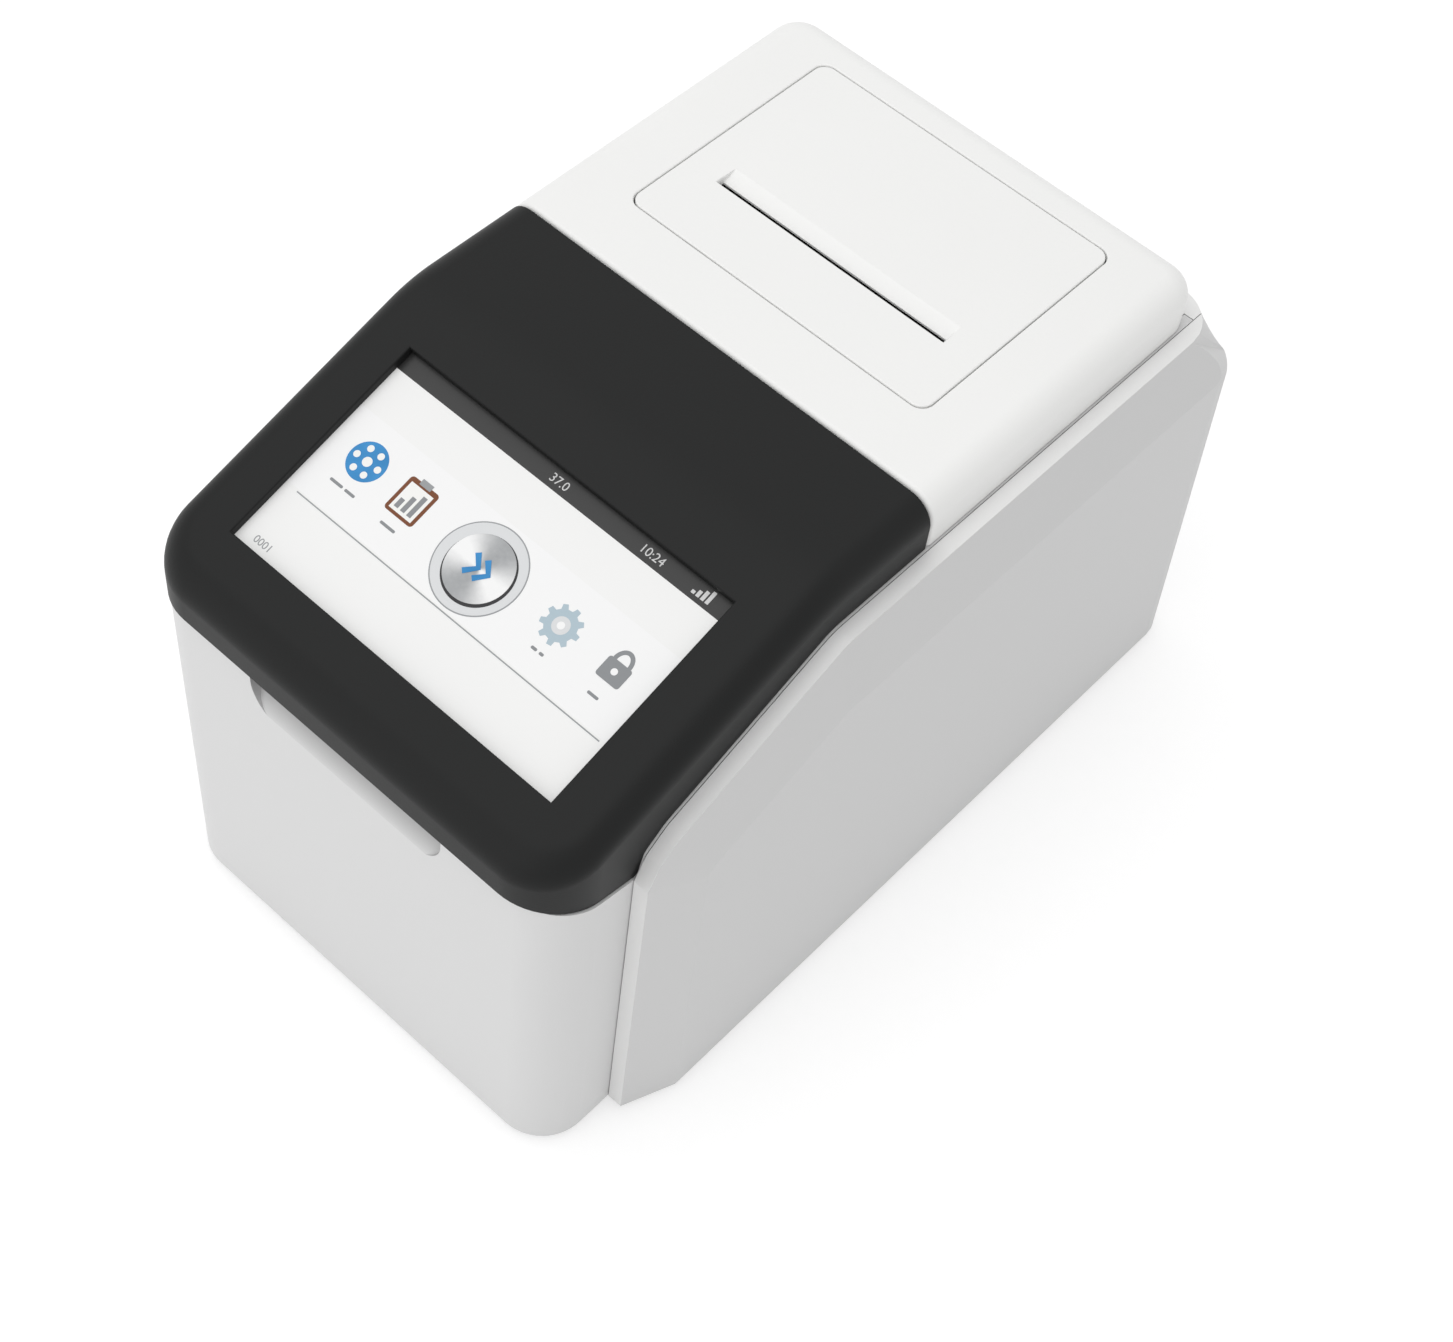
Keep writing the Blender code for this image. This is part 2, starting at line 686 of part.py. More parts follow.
def make_lower_housing():
    top = [(y, z - SEAM_GAP) for y, z in roofline()[1:]]
    front = (FRONT_Y, lid_edge_z(FRONT_Y) - SEAM_GAP)
    outline = [(FRONT_Y, FOOT_HEIGHT), front] + top + rear_line(REAR_WALL + FIT_GAP)
    housing = plate(outline, -BODY_HALF, BODY_HALF)

    def front_corner(edge):
        places = [vertex.co for vertex in edge.verts]
        at_front = all(abs(p.y - FRONT_Y) < WELD_DISTANCE for p in places)
        return at_front and abs(places[0].x - places[1].x) < WELD_DISTANCE

    bevel_edges(housing, front_corner, FRONT_CORNER, CORNER_STEPS)
    inner_half = BODY_HALF - HOUSING_WALL
    inner_front = FRONT_Y + HOUSING_WALL
    corner = FRONT_CORNER - HOUSING_WALL
    inner = rectangle((-inner_half, inner_front), (inner_half, REAR_Y + OVERRUN))
    cavity = plate(rounded(inner, [corner, corner, 0, 0]), 0, ROOF_Z, "Z")
    cut(housing, cavity)
    back_y = FRONT_Y + SCOOP_DEPTH + HOUSING_WALL
    back_half = SCOOP_HALF + HOUSING_WALL
    backing = [
        (FRONT_Y + HOUSING_WALL / 2, SCOOP_LOW_Z - HOUSING_WALL),
        (FRONT_Y + HOUSING_WALL / 2, lid_edge_z(FRONT_Y) - 2 * SEAM_GAP),
        (FRONT_Y + HOUSING_WALL, lid_edge_z(FRONT_Y) - 2 * SEAM_GAP),
        (FRONT_Y + 2 * HOUSING_WALL, SCOOP_TOP_Z),
        (back_y, SCOOP_TOP_Z),
        (back_y, SCOOP_LOW_Z - HOUSING_WALL + SCOOP_DEPTH / 2),
    ]
    add(housing, plate(backing, -back_half, back_half))
    for side in (-1, 1):
        near = side * (inner_half + HOUSING_WALL / 2)
        far = side * (inner_half - SHELF_WIDTH)
        for level in (DECK_Z, DRIVE_PLATE_Z):
            low = (min(near, far), inner_front + corner, level - FIT_GAP - SHELF_HEIGHT)
            high = (max(near, far), BULKHEAD_Y - 2 * FIT_GAP, level - FIT_GAP)
            add(housing, box(low, high))
    scoop = rounded(
        rectangle((-SCOOP_HALF, SCOOP_LOW_Z), (SCOOP_HALF, ROOF_Z)), [SCOOP_CORNER, SCOOP_CORNER, 0, 0]
    )
    side = [
        (FRONT_Y - OVERRUN, SCOOP_LOW_Z - OVERRUN),
        (FRONT_Y, SCOOP_LOW_Z - OVERRUN),
        (FRONT_Y + SCOOP_DEPTH * SCOOP_LIP_SHARE, SCOOP_LOW_Z),
        (FRONT_Y + SCOOP_DEPTH, SCOOP_LOW_Z + SCOOP_DEPTH),
        (FRONT_Y + SCOOP_DEPTH, ROOF_Z),
        (FRONT_Y - OVERRUN, ROOF_Z),
    ]
    scoop_cutter = plate(scoop, FRONT_Y - OVERRUN, FRONT_Y + SCOOP_DEPTH + OVERRUN, "Y")
    boolean(scoop_cutter, plate(side, -SCOOP_HALF - OVERRUN, SCOOP_HALF + OVERRUN), "INTERSECT")
    cut(housing, scoop_cutter)
    return adopt(settle(housing), "lower_housing", "white", True)


def make_side_panels():
    """A slab lofted from its inner outline through the ledge and the facets to its flat main face."""
    ledge = [(y, z - SEAM_GAP) for y, z in roofline()[1:]]
    ledge[0] = (PANEL_FRONT_Y + SEAM_GAP, ledge[0][1])
    inner = [(PANEL_FRONT_Y, FOOT_HEIGHT)] + ledge + rear_line(0)
    main = [
        (FACET_FRONT_Y, FOOT_HEIGHT),
        (FACET_FRONT_Y + FACET_BLEND * BLEND_SHARE, FACET_KINK_Z - FACET_BLEND),
        (FACET_FRONT_Y + FACET_BLEND * BLEND_MID_SHARE, FACET_KINK_Z),
        (FACET_FRONT_Y + 2 * FACET_BLEND, FACET_KINK_Z + FACET_BLEND * BLEND_SHARE),
        (FACET_BEND_Y, FACET_BEND_Z),
        (REAR_SHOULDER_Y - FACET_BLEND, FACET_REAR_Z),
        (REAR_SHOULDER_Y, FACET_REAR_Z - FACET_BLEND),
        (REAR_Y, FOOT_HEIGHT),
    ]
    sections = [(BODY_HALF + FIT_GAP, inner, 0.0)]
    for share in FACET_SHARES:
        x = LEDGE_HALF + FACET_DEPTH * share
        points = [
            (a[0] + (b[0] - a[0]) * share, a[1] + (b[1] - a[1]) * share) for a, b in zip(inner, main)
        ]
        sections.append((x, points, share))
    shaped = bmesh.new()
    rings = []
    for x, points, share in sections:
        reach = max(REAR_CORNER - (PANEL_HALF - x), 0)
        setback = REAR_CORNER - sqrt(REAR_CORNER ** 2 - reach ** 2)
        rear = len(points) - 3
        ring = []
        for k, (y, z) in enumerate(points):
            ring.append(shaped.verts.new((x, y - setback if k >= rear else y, z)))
        rings.append(ring)
    for near, far in zip(rings, rings[1:]):
        for k in range(len(near)):
            shaped.faces.new((near[k - 1], near[k], far[k], far[k - 1]))
    shaped.faces.new(rings[0][::-1])
    shaped.faces.new(rings[-1])
    bmesh.ops.recalc_face_normals(shaped, faces=shaped.faces)
    mesh = bpy.data.meshes.new("side_panel_right")
    shaped.to_mesh(mesh)
    shaped.free()
    panel = bpy.data.objects.new("side_panel_right", mesh)
    adopt(panel, "side_panel_right", "grey_panel")
    mirrored(panel, "side_panel_left")


def make_top_cover():
    outline = rectangle((SEAM_Y, COVER_LOW_Z), (COVER_REAR_Y, ROOF_Z))
    cover = rounded_block(outline, COVER_HALF, COVER_REAR_Y, COVER_CORNER, ROOF_ROUND, SEAM_Y)
    bevel_edges(cover, seam_edges(SEAM_Y, COVER_LOW_Z), SEAM_ROUND, SEAM_STEPS)
    inner = rectangle((SEAM_Y - OVERRUN, COVER_LOW_Z - OVERRUN),
                      (COVER_REAR_Y - SHELL_WALL, ROOF_Z - SHELL_WALL))
    cut(cover, rounded_block(inner, COVER_HALF - SHELL_WALL, COVER_REAR_Y - SHELL_WALL,
                             COVER_CORNER - SHELL_WALL, ROOF_ROUND - SHELL_WALL, SEAM_Y - OVERRUN))
    opening = rectangle((-HATCH_HALF - HATCH_GAP, HATCH_FRONT_Y - HATCH_GAP),
                        (HATCH_HALF + HATCH_GAP, HATCH_REAR_Y + HATCH_GAP))
    cut(cover, plate(rounded(opening, HATCH_CORNER), ROOF_Z - 2 * SHELL_WALL, ROOF_Z + OVERRUN, "Z"))
    for side in (-1, 1):
        near = HATCH_HALF + HATCH_GAP + BOSS_GAP
        spread = sorted((side * near, side * (near + LUG_THICK)))
        boss = hanging_lug(HATCH_EYE + HATCH_PIN, spread)
        add(cover, boss)
        reach = sorted((side * (near - OVERRUN), side * (near + LUG_THICK + OVERRUN)))
        cut(cover, rod(HATCH_PIN + FIT_GAP, (HATCH_AXIS_Y, HATCH_AXIS_Z), *reach, "X", PIN_SIDES))
    return adopt(settle(cover), "top_cover", "white", True)


def hanging_lug(eye, spread):
    """An ear round the hatch's axis that hangs from the skin above it."""
    roof = ROOF_Z - SHELL_WALL / 2
    lower = arc((HATCH_AXIS_Y, HATCH_AXIS_Z), eye, pi, 2 * pi, EYE_STEPS)
    outline = [(HATCH_AXIS_Y - eye, roof)] + lower + [(HATCH_AXIS_Y + eye, roof)]
    return plate(outline, spread[0], spread[1])


def rear_frame(u, v, w):
    """Turns places on the leaning rear face, u across, v up it and w out of it, into the part's frame."""
    lean = REAR_LEAN
    return Vector((u, REAR_Y - v * sin(lean) + w * cos(lean), FOOT_HEIGHT + v * cos(lean) + w * sin(lean)))


def on_rear(obj, u, v, w=0.0):
    """Moves a piece from the rear frame's origin, where its outside faces +Y, to its place."""
    obj.data.transform(Matrix.Translation(rear_frame(u, v, w)) @ Matrix.Rotation(REAR_LEAN, 4, "X"))
    return obj


def rear_block(u, v, half_u, half_v, out, depth):
    """A block on the rear face that reaches out of it and into it."""
    return on_rear(box((-half_u, -depth, -half_v), (half_u, out, half_v)), u, v)


def make_rear_panel():
    outer = rear_line(0)
    inner = [(y - REAR_WALL, z) for y, z in outer]
    panel = plate(outer + inner[::-1], -BODY_HALF, BODY_HALF)
    inner_half = BODY_HALF - HOUSING_WALL - FIT_GAP
    shelf_low = (-inner_half, COVER_REAR_Y - REAR_SHELF, LEDGE_Z - SHELL_WALL)
    add(panel, box(shelf_low, (inner_half, REAR_TOP_Y - REAR_WALL / 2, LEDGE_Z)))
    hole = REAR_WALL + OVERRUN
    fan_pitch = FAN_BORE * 2 / VENT_SLOTS
    for k in range(VENT_SLOTS):
        offset = (k - (VENT_SLOTS - 1) / 2) * fan_pitch
        half = sqrt(max(FAN_BORE ** 2 - offset ** 2, 0))
        cut(panel, rear_block(FAN_U, FAN_V + offset, half, VENT_WIDTH / 2, OVERRUN, hole))
        cut(panel, rear_block(-FAN_U, FAN_V + offset, FAN_BORE, VENT_WIDTH / 2, OVERRUN, hole))
    gap = FIT_GAP
    cut(panel, rear_block(INLET_U, INLET_V, INLET_HALF_U + gap, INLET_HALF_V + gap, OVERRUN, hole))
    cut(panel, rear_block(INLET_U, SWITCH_V, SWITCH_HALF_U + gap, SWITCH_HALF_V + gap, OVERRUN, hole))
    ports = ((NETWORK_U, NETWORK_HALF_U, NETWORK_HALF_V), (USB_U, USB_HALF_U, USB_HALF_V),
             (SERIAL_U, SERIAL_HALF_U, SERIAL_HALF_V))
    for u, half_u, half_v in ports:
        cut(panel, rear_block(u, PORT_V, half_u + gap, half_v + gap, OVERRUN, hole))
    return adopt(settle(panel), "rear_panel", "grey_panel")


def make_base():
    half = BODY_HALF - HOUSING_WALL - FIT_GAP
    front = FRONT_Y + HOUSING_WALL + FIT_GAP
    rear = REAR_Y - REAR_WALL - (BASE_TOP_Z - FOOT_HEIGHT) * tan(REAR_LEAN) - 2 * FIT_GAP
    corner = FRONT_CORNER - HOUSING_WALL
    outline = rounded(rectangle((-half, front), (half, rear)), [corner, corner, 0, 0])
    low = BASE_TOP_Z - PLATE
    base = plate(outline, low, BASE_TOP_Z, "Z")
    adopt(base, "base_plate", "steel")
    places = {
        "foot_front_left": (-FOOT_X, FOOT_FRONT_Y),
        "foot_front_right": (FOOT_X, FOOT_FRONT_Y),
        "foot_rear_left": (-FOOT_X, FOOT_REAR_Y),
        "foot_rear_right": (FOOT_X, FOOT_REAR_Y),
    }
    for name, place in places.items():
        foot = rod(FOOT_RADIUS, place, 0, FOOT_HEIGHT)
        adopt(foot, name, "rubber", True)


def on_slope(obj):
    """Lays a piece made flat, its origin at the window's top edge and +Z out, on the lid's slope."""
    turn = Matrix.Rotation(LID_SLOPE, 4, "X")
    obj.data.transform(Matrix.Translation((0, WINDOW_TOP_Y, WINDOW_TOP_Z)) @ turn)
    return obj


def make_lid():
    outline = [(LID_REAR_Y, ROOF_Z), (CREASE_Y, ROOF_Z), (NOSE_Y, NOSE_TOP_Z)] + roofline()
    outline += [(LID_REAR_Y, COVER_LOW_Z)]
    lid = rounded_block(outline, COVER_HALF, NOSE_Y, VISOR_CORNER, ROOF_ROUND, LID_REAR_Y)
    inner_nose = NOSE_Y + SHELL_WALL
    inner_rear = LID_REAR_Y + OVERRUN
    inner_roof = ROOF_Z - SHELL_WALL
    inner_crease = WINDOW_TOP_Y + (inner_roof - slope_z(WINDOW_TOP_Y, SHELL_WALL)) / SLOPE
    low = CHEEK_Z - OVERRUN
    cavity = [(inner_rear, inner_roof), (inner_crease, inner_roof),
              (inner_nose, slope_z(inner_nose, SHELL_WALL)), (inner_nose, low), (inner_rear, low)]
    cut(lid, rounded_block(cavity, COVER_HALF - SHELL_WALL, inner_nose, VISOR_CORNER - SHELL_WALL,
                           ROOF_ROUND - SHELL_WALL, inner_rear))
    window = box((-WINDOW_HALF, -WINDOW_LENGTH, -2 * SHELL_WALL), (WINDOW_HALF, 0, OVERRUN))
    cut(lid, on_slope(window))
    return adopt(settle(lid), "lid_shell", "dark_visor", True)


def make_display():
    """Glass, panel, board and the tray that closes them in, stacked under the lid's slope."""
    length = WINDOW_LENGTH
    top = -SHELL_WALL - FIT_GAP
    half = GLASS_HALF
    glass = box((-half, -length - GLASS_EXTRA, top - GLASS_THICK), (half, GLASS_EXTRA, top))
    adopt(on_slope(glass), "touch_glass", "glass")
    top -= GLASS_THICK + FIT_GAP
    edge = GLASS_EXTRA - DISPLAY_BOARD_GAP
    half = GLASS_HALF - DISPLAY_BOARD_GAP
    panel = box((-half, -length - edge, top - DISPLAY_THICK), (half, edge, top))
    adopt(on_slope(panel), "display_panel", "steel")
    top -= DISPLAY_THICK + FIT_GAP
    half = WINDOW_HALF - DISPLAY_THICK
    board = box((-half, -length + edge, top - BOARD_THICK), (half, -edge, top))
    adopt(on_slope(board), "display_board", "circuit")
    top -= BOARD_THICK + FIT_GAP
    floor = top - TRAY_WALL
    rim = -SHELL_WALL - FIT_GAP
    margin = GLASS_EXTRA + FIT_GAP
    tray = box((-TRAY_HALF, -length - margin - TRAY_WALL, floor), (TRAY_HALF, margin + TRAY_WALL, rim))
    inner_half = TRAY_HALF - TRAY_WALL
    cut(tray, box((-inner_half, -length - margin, top), (inner_half, margin, rim + OVERRUN)))
    settle(tray)
    adopt(on_slope(tray), "lid_inner_cover", "dark_inner")
    magnet_top = floor - FIT_GAP
    place = (SENSOR_X, -length)
    magnet = rod(SENSOR_SIZE / 2, place, magnet_top - MAGNET_THICK, magnet_top, sides=PIN_SIDES)
    adopt(on_slope(magnet), "lid_magnet", "steel", True)


def make_hinge():
    """Gooseneck arms that swing the lid clear of the cover's front edge, on pins held by brackets."""
    top = HINGE_DROP - SHELL_WALL - FIT_GAP
    path = [
        (0, 0),
        (0, -ARM_NECK),
        (-ARM_TURN, -ARM_DROP * ARM_TURN_SHARE),
        (-ARM_REACH * ARM_LOW_SHARE, -ARM_DROP),
        (-ARM_REACH * ARM_RISE_SHARE, -ARM_DROP * ARM_BEND_SHARE),
        (-ARM_REACH, top),
    ]
    path = [(HINGE_Y + y, HINGE_Z + z) for y, z in path]
    far = HINGE_X + ARM_THICK
    arm = plate(band(path, ARM_HALF), HINGE_X, far)
    add(arm, rod(ARM_EYE, (HINGE_Y, HINGE_Z), HINGE_X, far, "X", PIN_SIDES))
    pad_y = HINGE_Y - ARM_REACH
    pad_low = (far - ARM_PAD_WIDTH, pad_y - ARM_PAD_LENGTH, HINGE_Z + top - ARM_HALF)
    add(arm, box(pad_low, (far, pad_y, HINGE_Z + top)))
    cut(arm, rod(PIN_RADIUS + RUN_GAP, (HINGE_Y, HINGE_Z), HINGE_X - OVERRUN, far + OVERRUN, "X", PIN_SIDES))
    adopt(settle(arm), "hinge_arm_right", "steel")
    mirrored(arm, "hinge_arm_left")

    inner = HINGE_X - FIT_GAP
    back = BULKHEAD_Y - FIT_GAP
    eye = arc((HINGE_Y, HINGE_Z), ARM_EYE, pi / 2, pi + pi / 4, EYE_STEPS)
    outline = [(back, BRACKET_LOW_Z), (back, HINGE_Z + ARM_EYE)] + eye
    outline += [(back - BRACKET_DEPTH, HINGE_Z - 2 * BRACKET_DEPTH), (back - BRACKET_DEPTH, BRACKET_LOW_Z)]
    bracket = plate(outline, inner - BRACKET_THICK, inner)
    foot_low = (inner - BRACKET_FOOT, back - BRACKET_THICK, BRACKET_LOW_Z)
    add(bracket, box(foot_low, (inner - BRACKET_THICK / 2, back, BULKHEAD_TOP_Z)))
    reach = (inner - BRACKET_THICK - OVERRUN, inner + OVERRUN)
    cut(bracket, rod(PIN_RADIUS + FIT_GAP, (HINGE_Y, HINGE_Z), *reach, "X", PIN_SIDES))
    adopt(settle(bracket), "hinge_bracket_right", "steel")
    mirrored(bracket, "hinge_bracket_left")

    ends = (inner - BRACKET_THICK - FIT_GAP, far + FIT_GAP)
    pin = rod(PIN_RADIUS, (HINGE_Y, HINGE_Z), *ends, "X", PIN_SIDES)
    adopt(pin, "hinge_pin_right", "steel", True)
    mirrored(pin, "hinge_pin_left")


def make_hatch():
    outline = rectangle((-HATCH_HALF, HATCH_FRONT_Y), (HATCH_HALF, HATCH_REAR_Y))
    hatch = plate(rounded(outline, HATCH_CORNER), ROOF_Z - SHELL_WALL, ROOF_Z, "Z")
    slit_rear = SLOT_FRONT_Y + SLIT_WIDTH
    below = ROOF_Z - SHELL_WALL
    wedge = [
        (SLOT_FRONT_Y, ROOF_Z + OVERRUN),
        (SLOT_FRONT_Y, below - OVERRUN),
        (slit_rear, below - OVERRUN),
        (slit_rear, below + SHELL_WALL / 4),
        (SLOT_REAR_Y, ROOF_Z),
        (SLOT_REAR_Y, ROOF_Z + OVERRUN),
    ]
    cut(hatch, plate(wedge, -SLOT_HALF, SLOT_HALF))
    for side in (-1, 1):
        spread = sorted((side * LUG_X, side * (LUG_X + LUG_THICK)))
        add(hatch, hanging_lug(HATCH_EYE, spread))
        reach = (spread[0] - OVERRUN, spread[1] + OVERRUN)
        cut(hatch, rod(HATCH_PIN + RUN_GAP, (HATCH_AXIS_Y, HATCH_AXIS_Z), *reach, "X", PIN_SIDES))
    adopt(settle(hatch), "printer_hatch", "white")
    outer = HATCH_HALF + HATCH_GAP + BOSS_GAP + LUG_THICK
    pin = rod(HATCH_PIN, (HATCH_AXIS_Y, HATCH_AXIS_Z), LUG_X - FIT_GAP, outer + FIT_GAP, "X", PIN_SIDES)
    adopt(pin, "hatch_pin_right", "steel", True)
    mirrored(pin, "hatch_pin_left")


def gear_outline(module, teeth, centre, phase):
    """The outline of an involute gear, thinned by half the backlash on each flank."""
    pitch = module * teeth / 2
    base = pitch * cos(PRESSURE_ANGLE)
    tip = pitch + module
    root = pitch - DEDENDUM_SHARE * module
    play = GEAR_BACKLASH * module / GEAR_MODULE / (2 * pitch)
    half = pi / (2 * teeth) - play + tan(PRESSURE_ANGLE) - PRESSURE_ANGLE

    def turn_at(radius):
        slope = acos(min(base / radius, 1))
        return half - (tan(slope) - slope)

    start = max(base, root)
    radii = [start + (tip - start) * share for share in FLANK_SHARES]
    flank = [(radius, turn_at(radius)) for radius in radii]
    if root < base:
        flank = [(root, turn_at(start))] + flank
    points = []
    for tooth in range(teeth):
        middle = phase + 2 * pi * tooth / teeth
        for radius, angle in flank:
            points.append((radius, middle - angle))
        for radius, angle in flank[::-1]:
            points.append((radius, middle + angle))
    return [(centre[0] + radius * cos(a), centre[1] + radius * sin(a)) for radius, a in points]


def make_plates():
    """The deck under the lid, the plate that carries the drive, and the bulkhead behind them."""
    inner = BODY_HALF - HOUSING_WALL - FIT_GAP
    front = FRONT_Y + HOUSING_WALL + FIT_GAP
    rear = BULKHEAD_Y - FIT_GAP
    corner = FRONT_CORNER - HOUSING_WALL
    notch = SCOOP_HALF + HOUSING_WALL + FIT_GAP
    notch_y = FRONT_Y + SCOOP_DEPTH + HOUSING_WALL + FIT_GAP
    outline = [(inner, front), (inner, rear), (-inner, rear), (-inner, front),
               (-notch, front), (-notch, notch_y), (notch, notch_y), (notch, front)]
    radii = [corner, 0, 0, corner, 0, 0, 0, 0]
    deck = plate(rounded(outline, radii), DECK_Z, DECK_Z + DECK_THICK, "Z")
    reach = (DECK_Z - OVERRUN, DECK_Z + DECK_THICK + OVERRUN)
    cut(deck, rod(WELL_RADIUS, (0, DISC_Y), *reach, sides=DISC_SIDES))
    adopt(settle(deck), "deck_plate", "white_hidden")
    flat = rounded(rectangle((-inner, front), (inner, rear)), [corner, corner, 0, 0])
    drive = plate(flat, DRIVE_PLATE_Z, DRIVE_PLATE_Z + PLATE, "Z")
    reach = (DRIVE_PLATE_Z - OVERRUN, DRIVE_PLATE_Z + PLATE + OVERRUN)
    cut(drive, rod(BEARING_RADIUS + FIT_GAP, (0, DISC_Y), *reach))
    cut(drive, rod(MOTOR_SHAFT + 2 * FIT_GAP, (0, PINION_Y), *reach))
    adopt(settle(drive), "drive_plate", "steel")
    low = (-inner, BULKHEAD_Y, BASE_TOP_Z + FIT_GAP)
    adopt(box(low, (inner, BULKHEAD_Y + PLATE, BULKHEAD_TOP_Z)), "bulkhead", "steel")


def make_turntable():
    """The disc that carries the slides, its ring gear and shaft, and the motor's pinion in mesh with it."""
    disc = rod(DISC_RADIUS, (0, DISC_Y), DISC_Z, DISC_Z + DISC_THICK, sides=DISC_SIDES)
    add(disc, rod(HUB_RADIUS, (0, DISC_Y), DISC_Z + DISC_THICK / 2, DISC_Z + DISC_THICK + HUB_HEIGHT))
    top = DISC_Z + DISC_THICK
    for k in range(DISC_POCKETS):
        low = (POCKET_ORBIT - POCKET_LENGTH / 2, -POCKET_WIDTH / 2, top - POCKET_DEPTH)
        pocket = box(low, (POCKET_ORBIT + POCKET_LENGTH / 2, POCKET_WIDTH / 2, top + OVERRUN))
        turn = Matrix.Rotation(pi * (2 * k + 1) / DISC_POCKETS, 4, "Z")
        pocket.data.transform(Matrix.Translation((0, DISC_Y, 0)) @ turn)
        cut(disc, pocket)
    adopt(settle(disc), "turntable", "aluminium", True)
    gear_top = DISC_Z - FIT_GAP
    gear_low = gear_top - GEAR_WIDTH
    phase = pi / 2 + pi / RING_TEETH
    ring = plate(gear_outline(GEAR_MODULE, RING_TEETH, (0, DISC_Y), phase), gear_low, gear_top, "Z")
    reach = (gear_low - OVERRUN, gear_top + OVERRUN)
    cut(ring, rod(SHAFT_RADIUS + FIT_GAP, (0, DISC_Y), *reach, sides=PIN_SIDES))
    adopt(settle(ring), "ring_gear", "gear_plastic")
    shaft = rod(SHAFT_RADIUS, (0, DISC_Y), SHAFT_LOW_Z, gear_top, sides=PIN_SIDES)
    adopt(shaft, "turntable_shaft", "steel", True)
    teeth = gear_outline(GEAR_MODULE, PINION_TEETH, (0, PINION_Y), -pi / 2)
    pinion = plate(teeth, gear_low, gear_top, "Z")
    add(pinion, rod(MOTOR_SHAFT, (0, PINION_Y), DRIVE_PLATE_Z, gear_low + GEAR_WIDTH / 2, sides=PIN_SIDES))
    adopt(settle(pinion), "motor_pinion", "brass")
    flange = DRIVE_PLATE_Z + PLATE + FIT_GAP
    bush = rod(BEARING_RADIUS, (0, DISC_Y), SHAFT_LOW_Z + OVERRUN, gear_low - FIT_GAP)
    add(bush, rod(BEARING_FLANGE, (0, DISC_Y), flange, flange + PLATE))
    cut(bush, rod(SHAFT_RADIUS + RUN_GAP, (0, DISC_Y), SHAFT_LOW_Z, gear_low, sides=PIN_SIDES))
    adopt(settle(bush), "turntable_bearing", "brass", True)
    half = MOTOR_SIDE / 2
    motor_top = DRIVE_PLATE_Z - FIT_GAP
    motor = plate(rounded(rectangle((-half, PINION_Y - half), (half, PINION_Y + half)), MOTOR_SHAFT, 2),
                  motor_top - MOTOR_LENGTH, motor_top, "Z")
    adopt(motor, "stepper_motor", "black_plastic")


def make_heater():
    """A ring under the disc's rim, open at the pinion, on short legs."""
    low = DRIVE_PLATE_Z + PLATE + FIT_GAP
    high = DISC_Z - 2 * FIT_GAP
    outer = HEATER_INNER + HEATER_WALL
    heater = rod(outer, (0, DISC_Y), high - HEATER_HEIGHT, high, sides=DISC_SIDES)
    reach = (high - HEATER_HEIGHT - OVERRUN, high + OVERRUN)
    cut(heater, rod(HEATER_INNER, (0, DISC_Y), *reach, sides=DISC_SIDES))
    half = HEATER_MOUTH / 2
    cut(heater, box((-half, DISC_Y, low - OVERRUN), (half, DISC_Y + outer + OVERRUN, high + OVERRUN)))
    for k in (-1, 0, 1):
        turn = -pi / 2 + k * HEATER_LEG_TURN
        radius = HEATER_INNER + HEATER_WALL / 2
        place = (radius * cos(turn), DISC_Y + radius * sin(turn))
        add(heater, rod(HEATER_LEG / 2, place, low, high - HEATER_HEIGHT / 2, sides=PIN_SIDES))
    adopt(settle(heater), "heater_block", "aluminium", True)


def make_optics():
    """The photometer over the slide track, its lens, the lamp, and the sensor that sees the lid closed."""
    top = DECK_Z + DECK_THICK + FIT_GAP
    low = (HEAD_X - HEAD_HALF_X, DISC_Y - HEAD_HALF_Y, top)
    head = box(low, (HEAD_X + HEAD_HALF_X, DISC_Y + HEAD_HALF_Y, top + HEAD_BLOCK_HEIGHT))
    bevel_edges(head, lambda edge: all(v.co.z > top + FIT_GAP for v in edge.verts), LENS_RADIUS / 2, 1)
    adopt(head, "photometer_head", "black_plastic")
    lens_low = DISC_Z + DISC_THICK + RUN_CLEAR
    lens = rod(LENS_RADIUS, (-POCKET_ORBIT, DISC_Y), lens_low, top - FIT_GAP)
    adopt(lens, "photometer_lens", "glass", True)
    plate_top = DRIVE_PLATE_Z + PLATE + FIT_GAP
    lamp_top = plate_top + LAMP_SIZE * LAMP_HEIGHT_SHARE
    lamp = box((LAMP_X, LAMP_Y, plate_top), (LAMP_X + LAMP_SIZE, LAMP_Y + LAMP_SIZE, lamp_top))
    adopt(lamp, "lamp_module", "black_plastic")
    half = SENSOR_SIZE / 2
    sensor = box((SENSOR_X - half, WINDOW_LOW_Y, top),
                 (SENSOR_X + half, WINDOW_LOW_Y + SENSOR_SIZE, top + SENSOR_SIZE))
    adopt(sensor, "lid_sensor", "black_plastic")


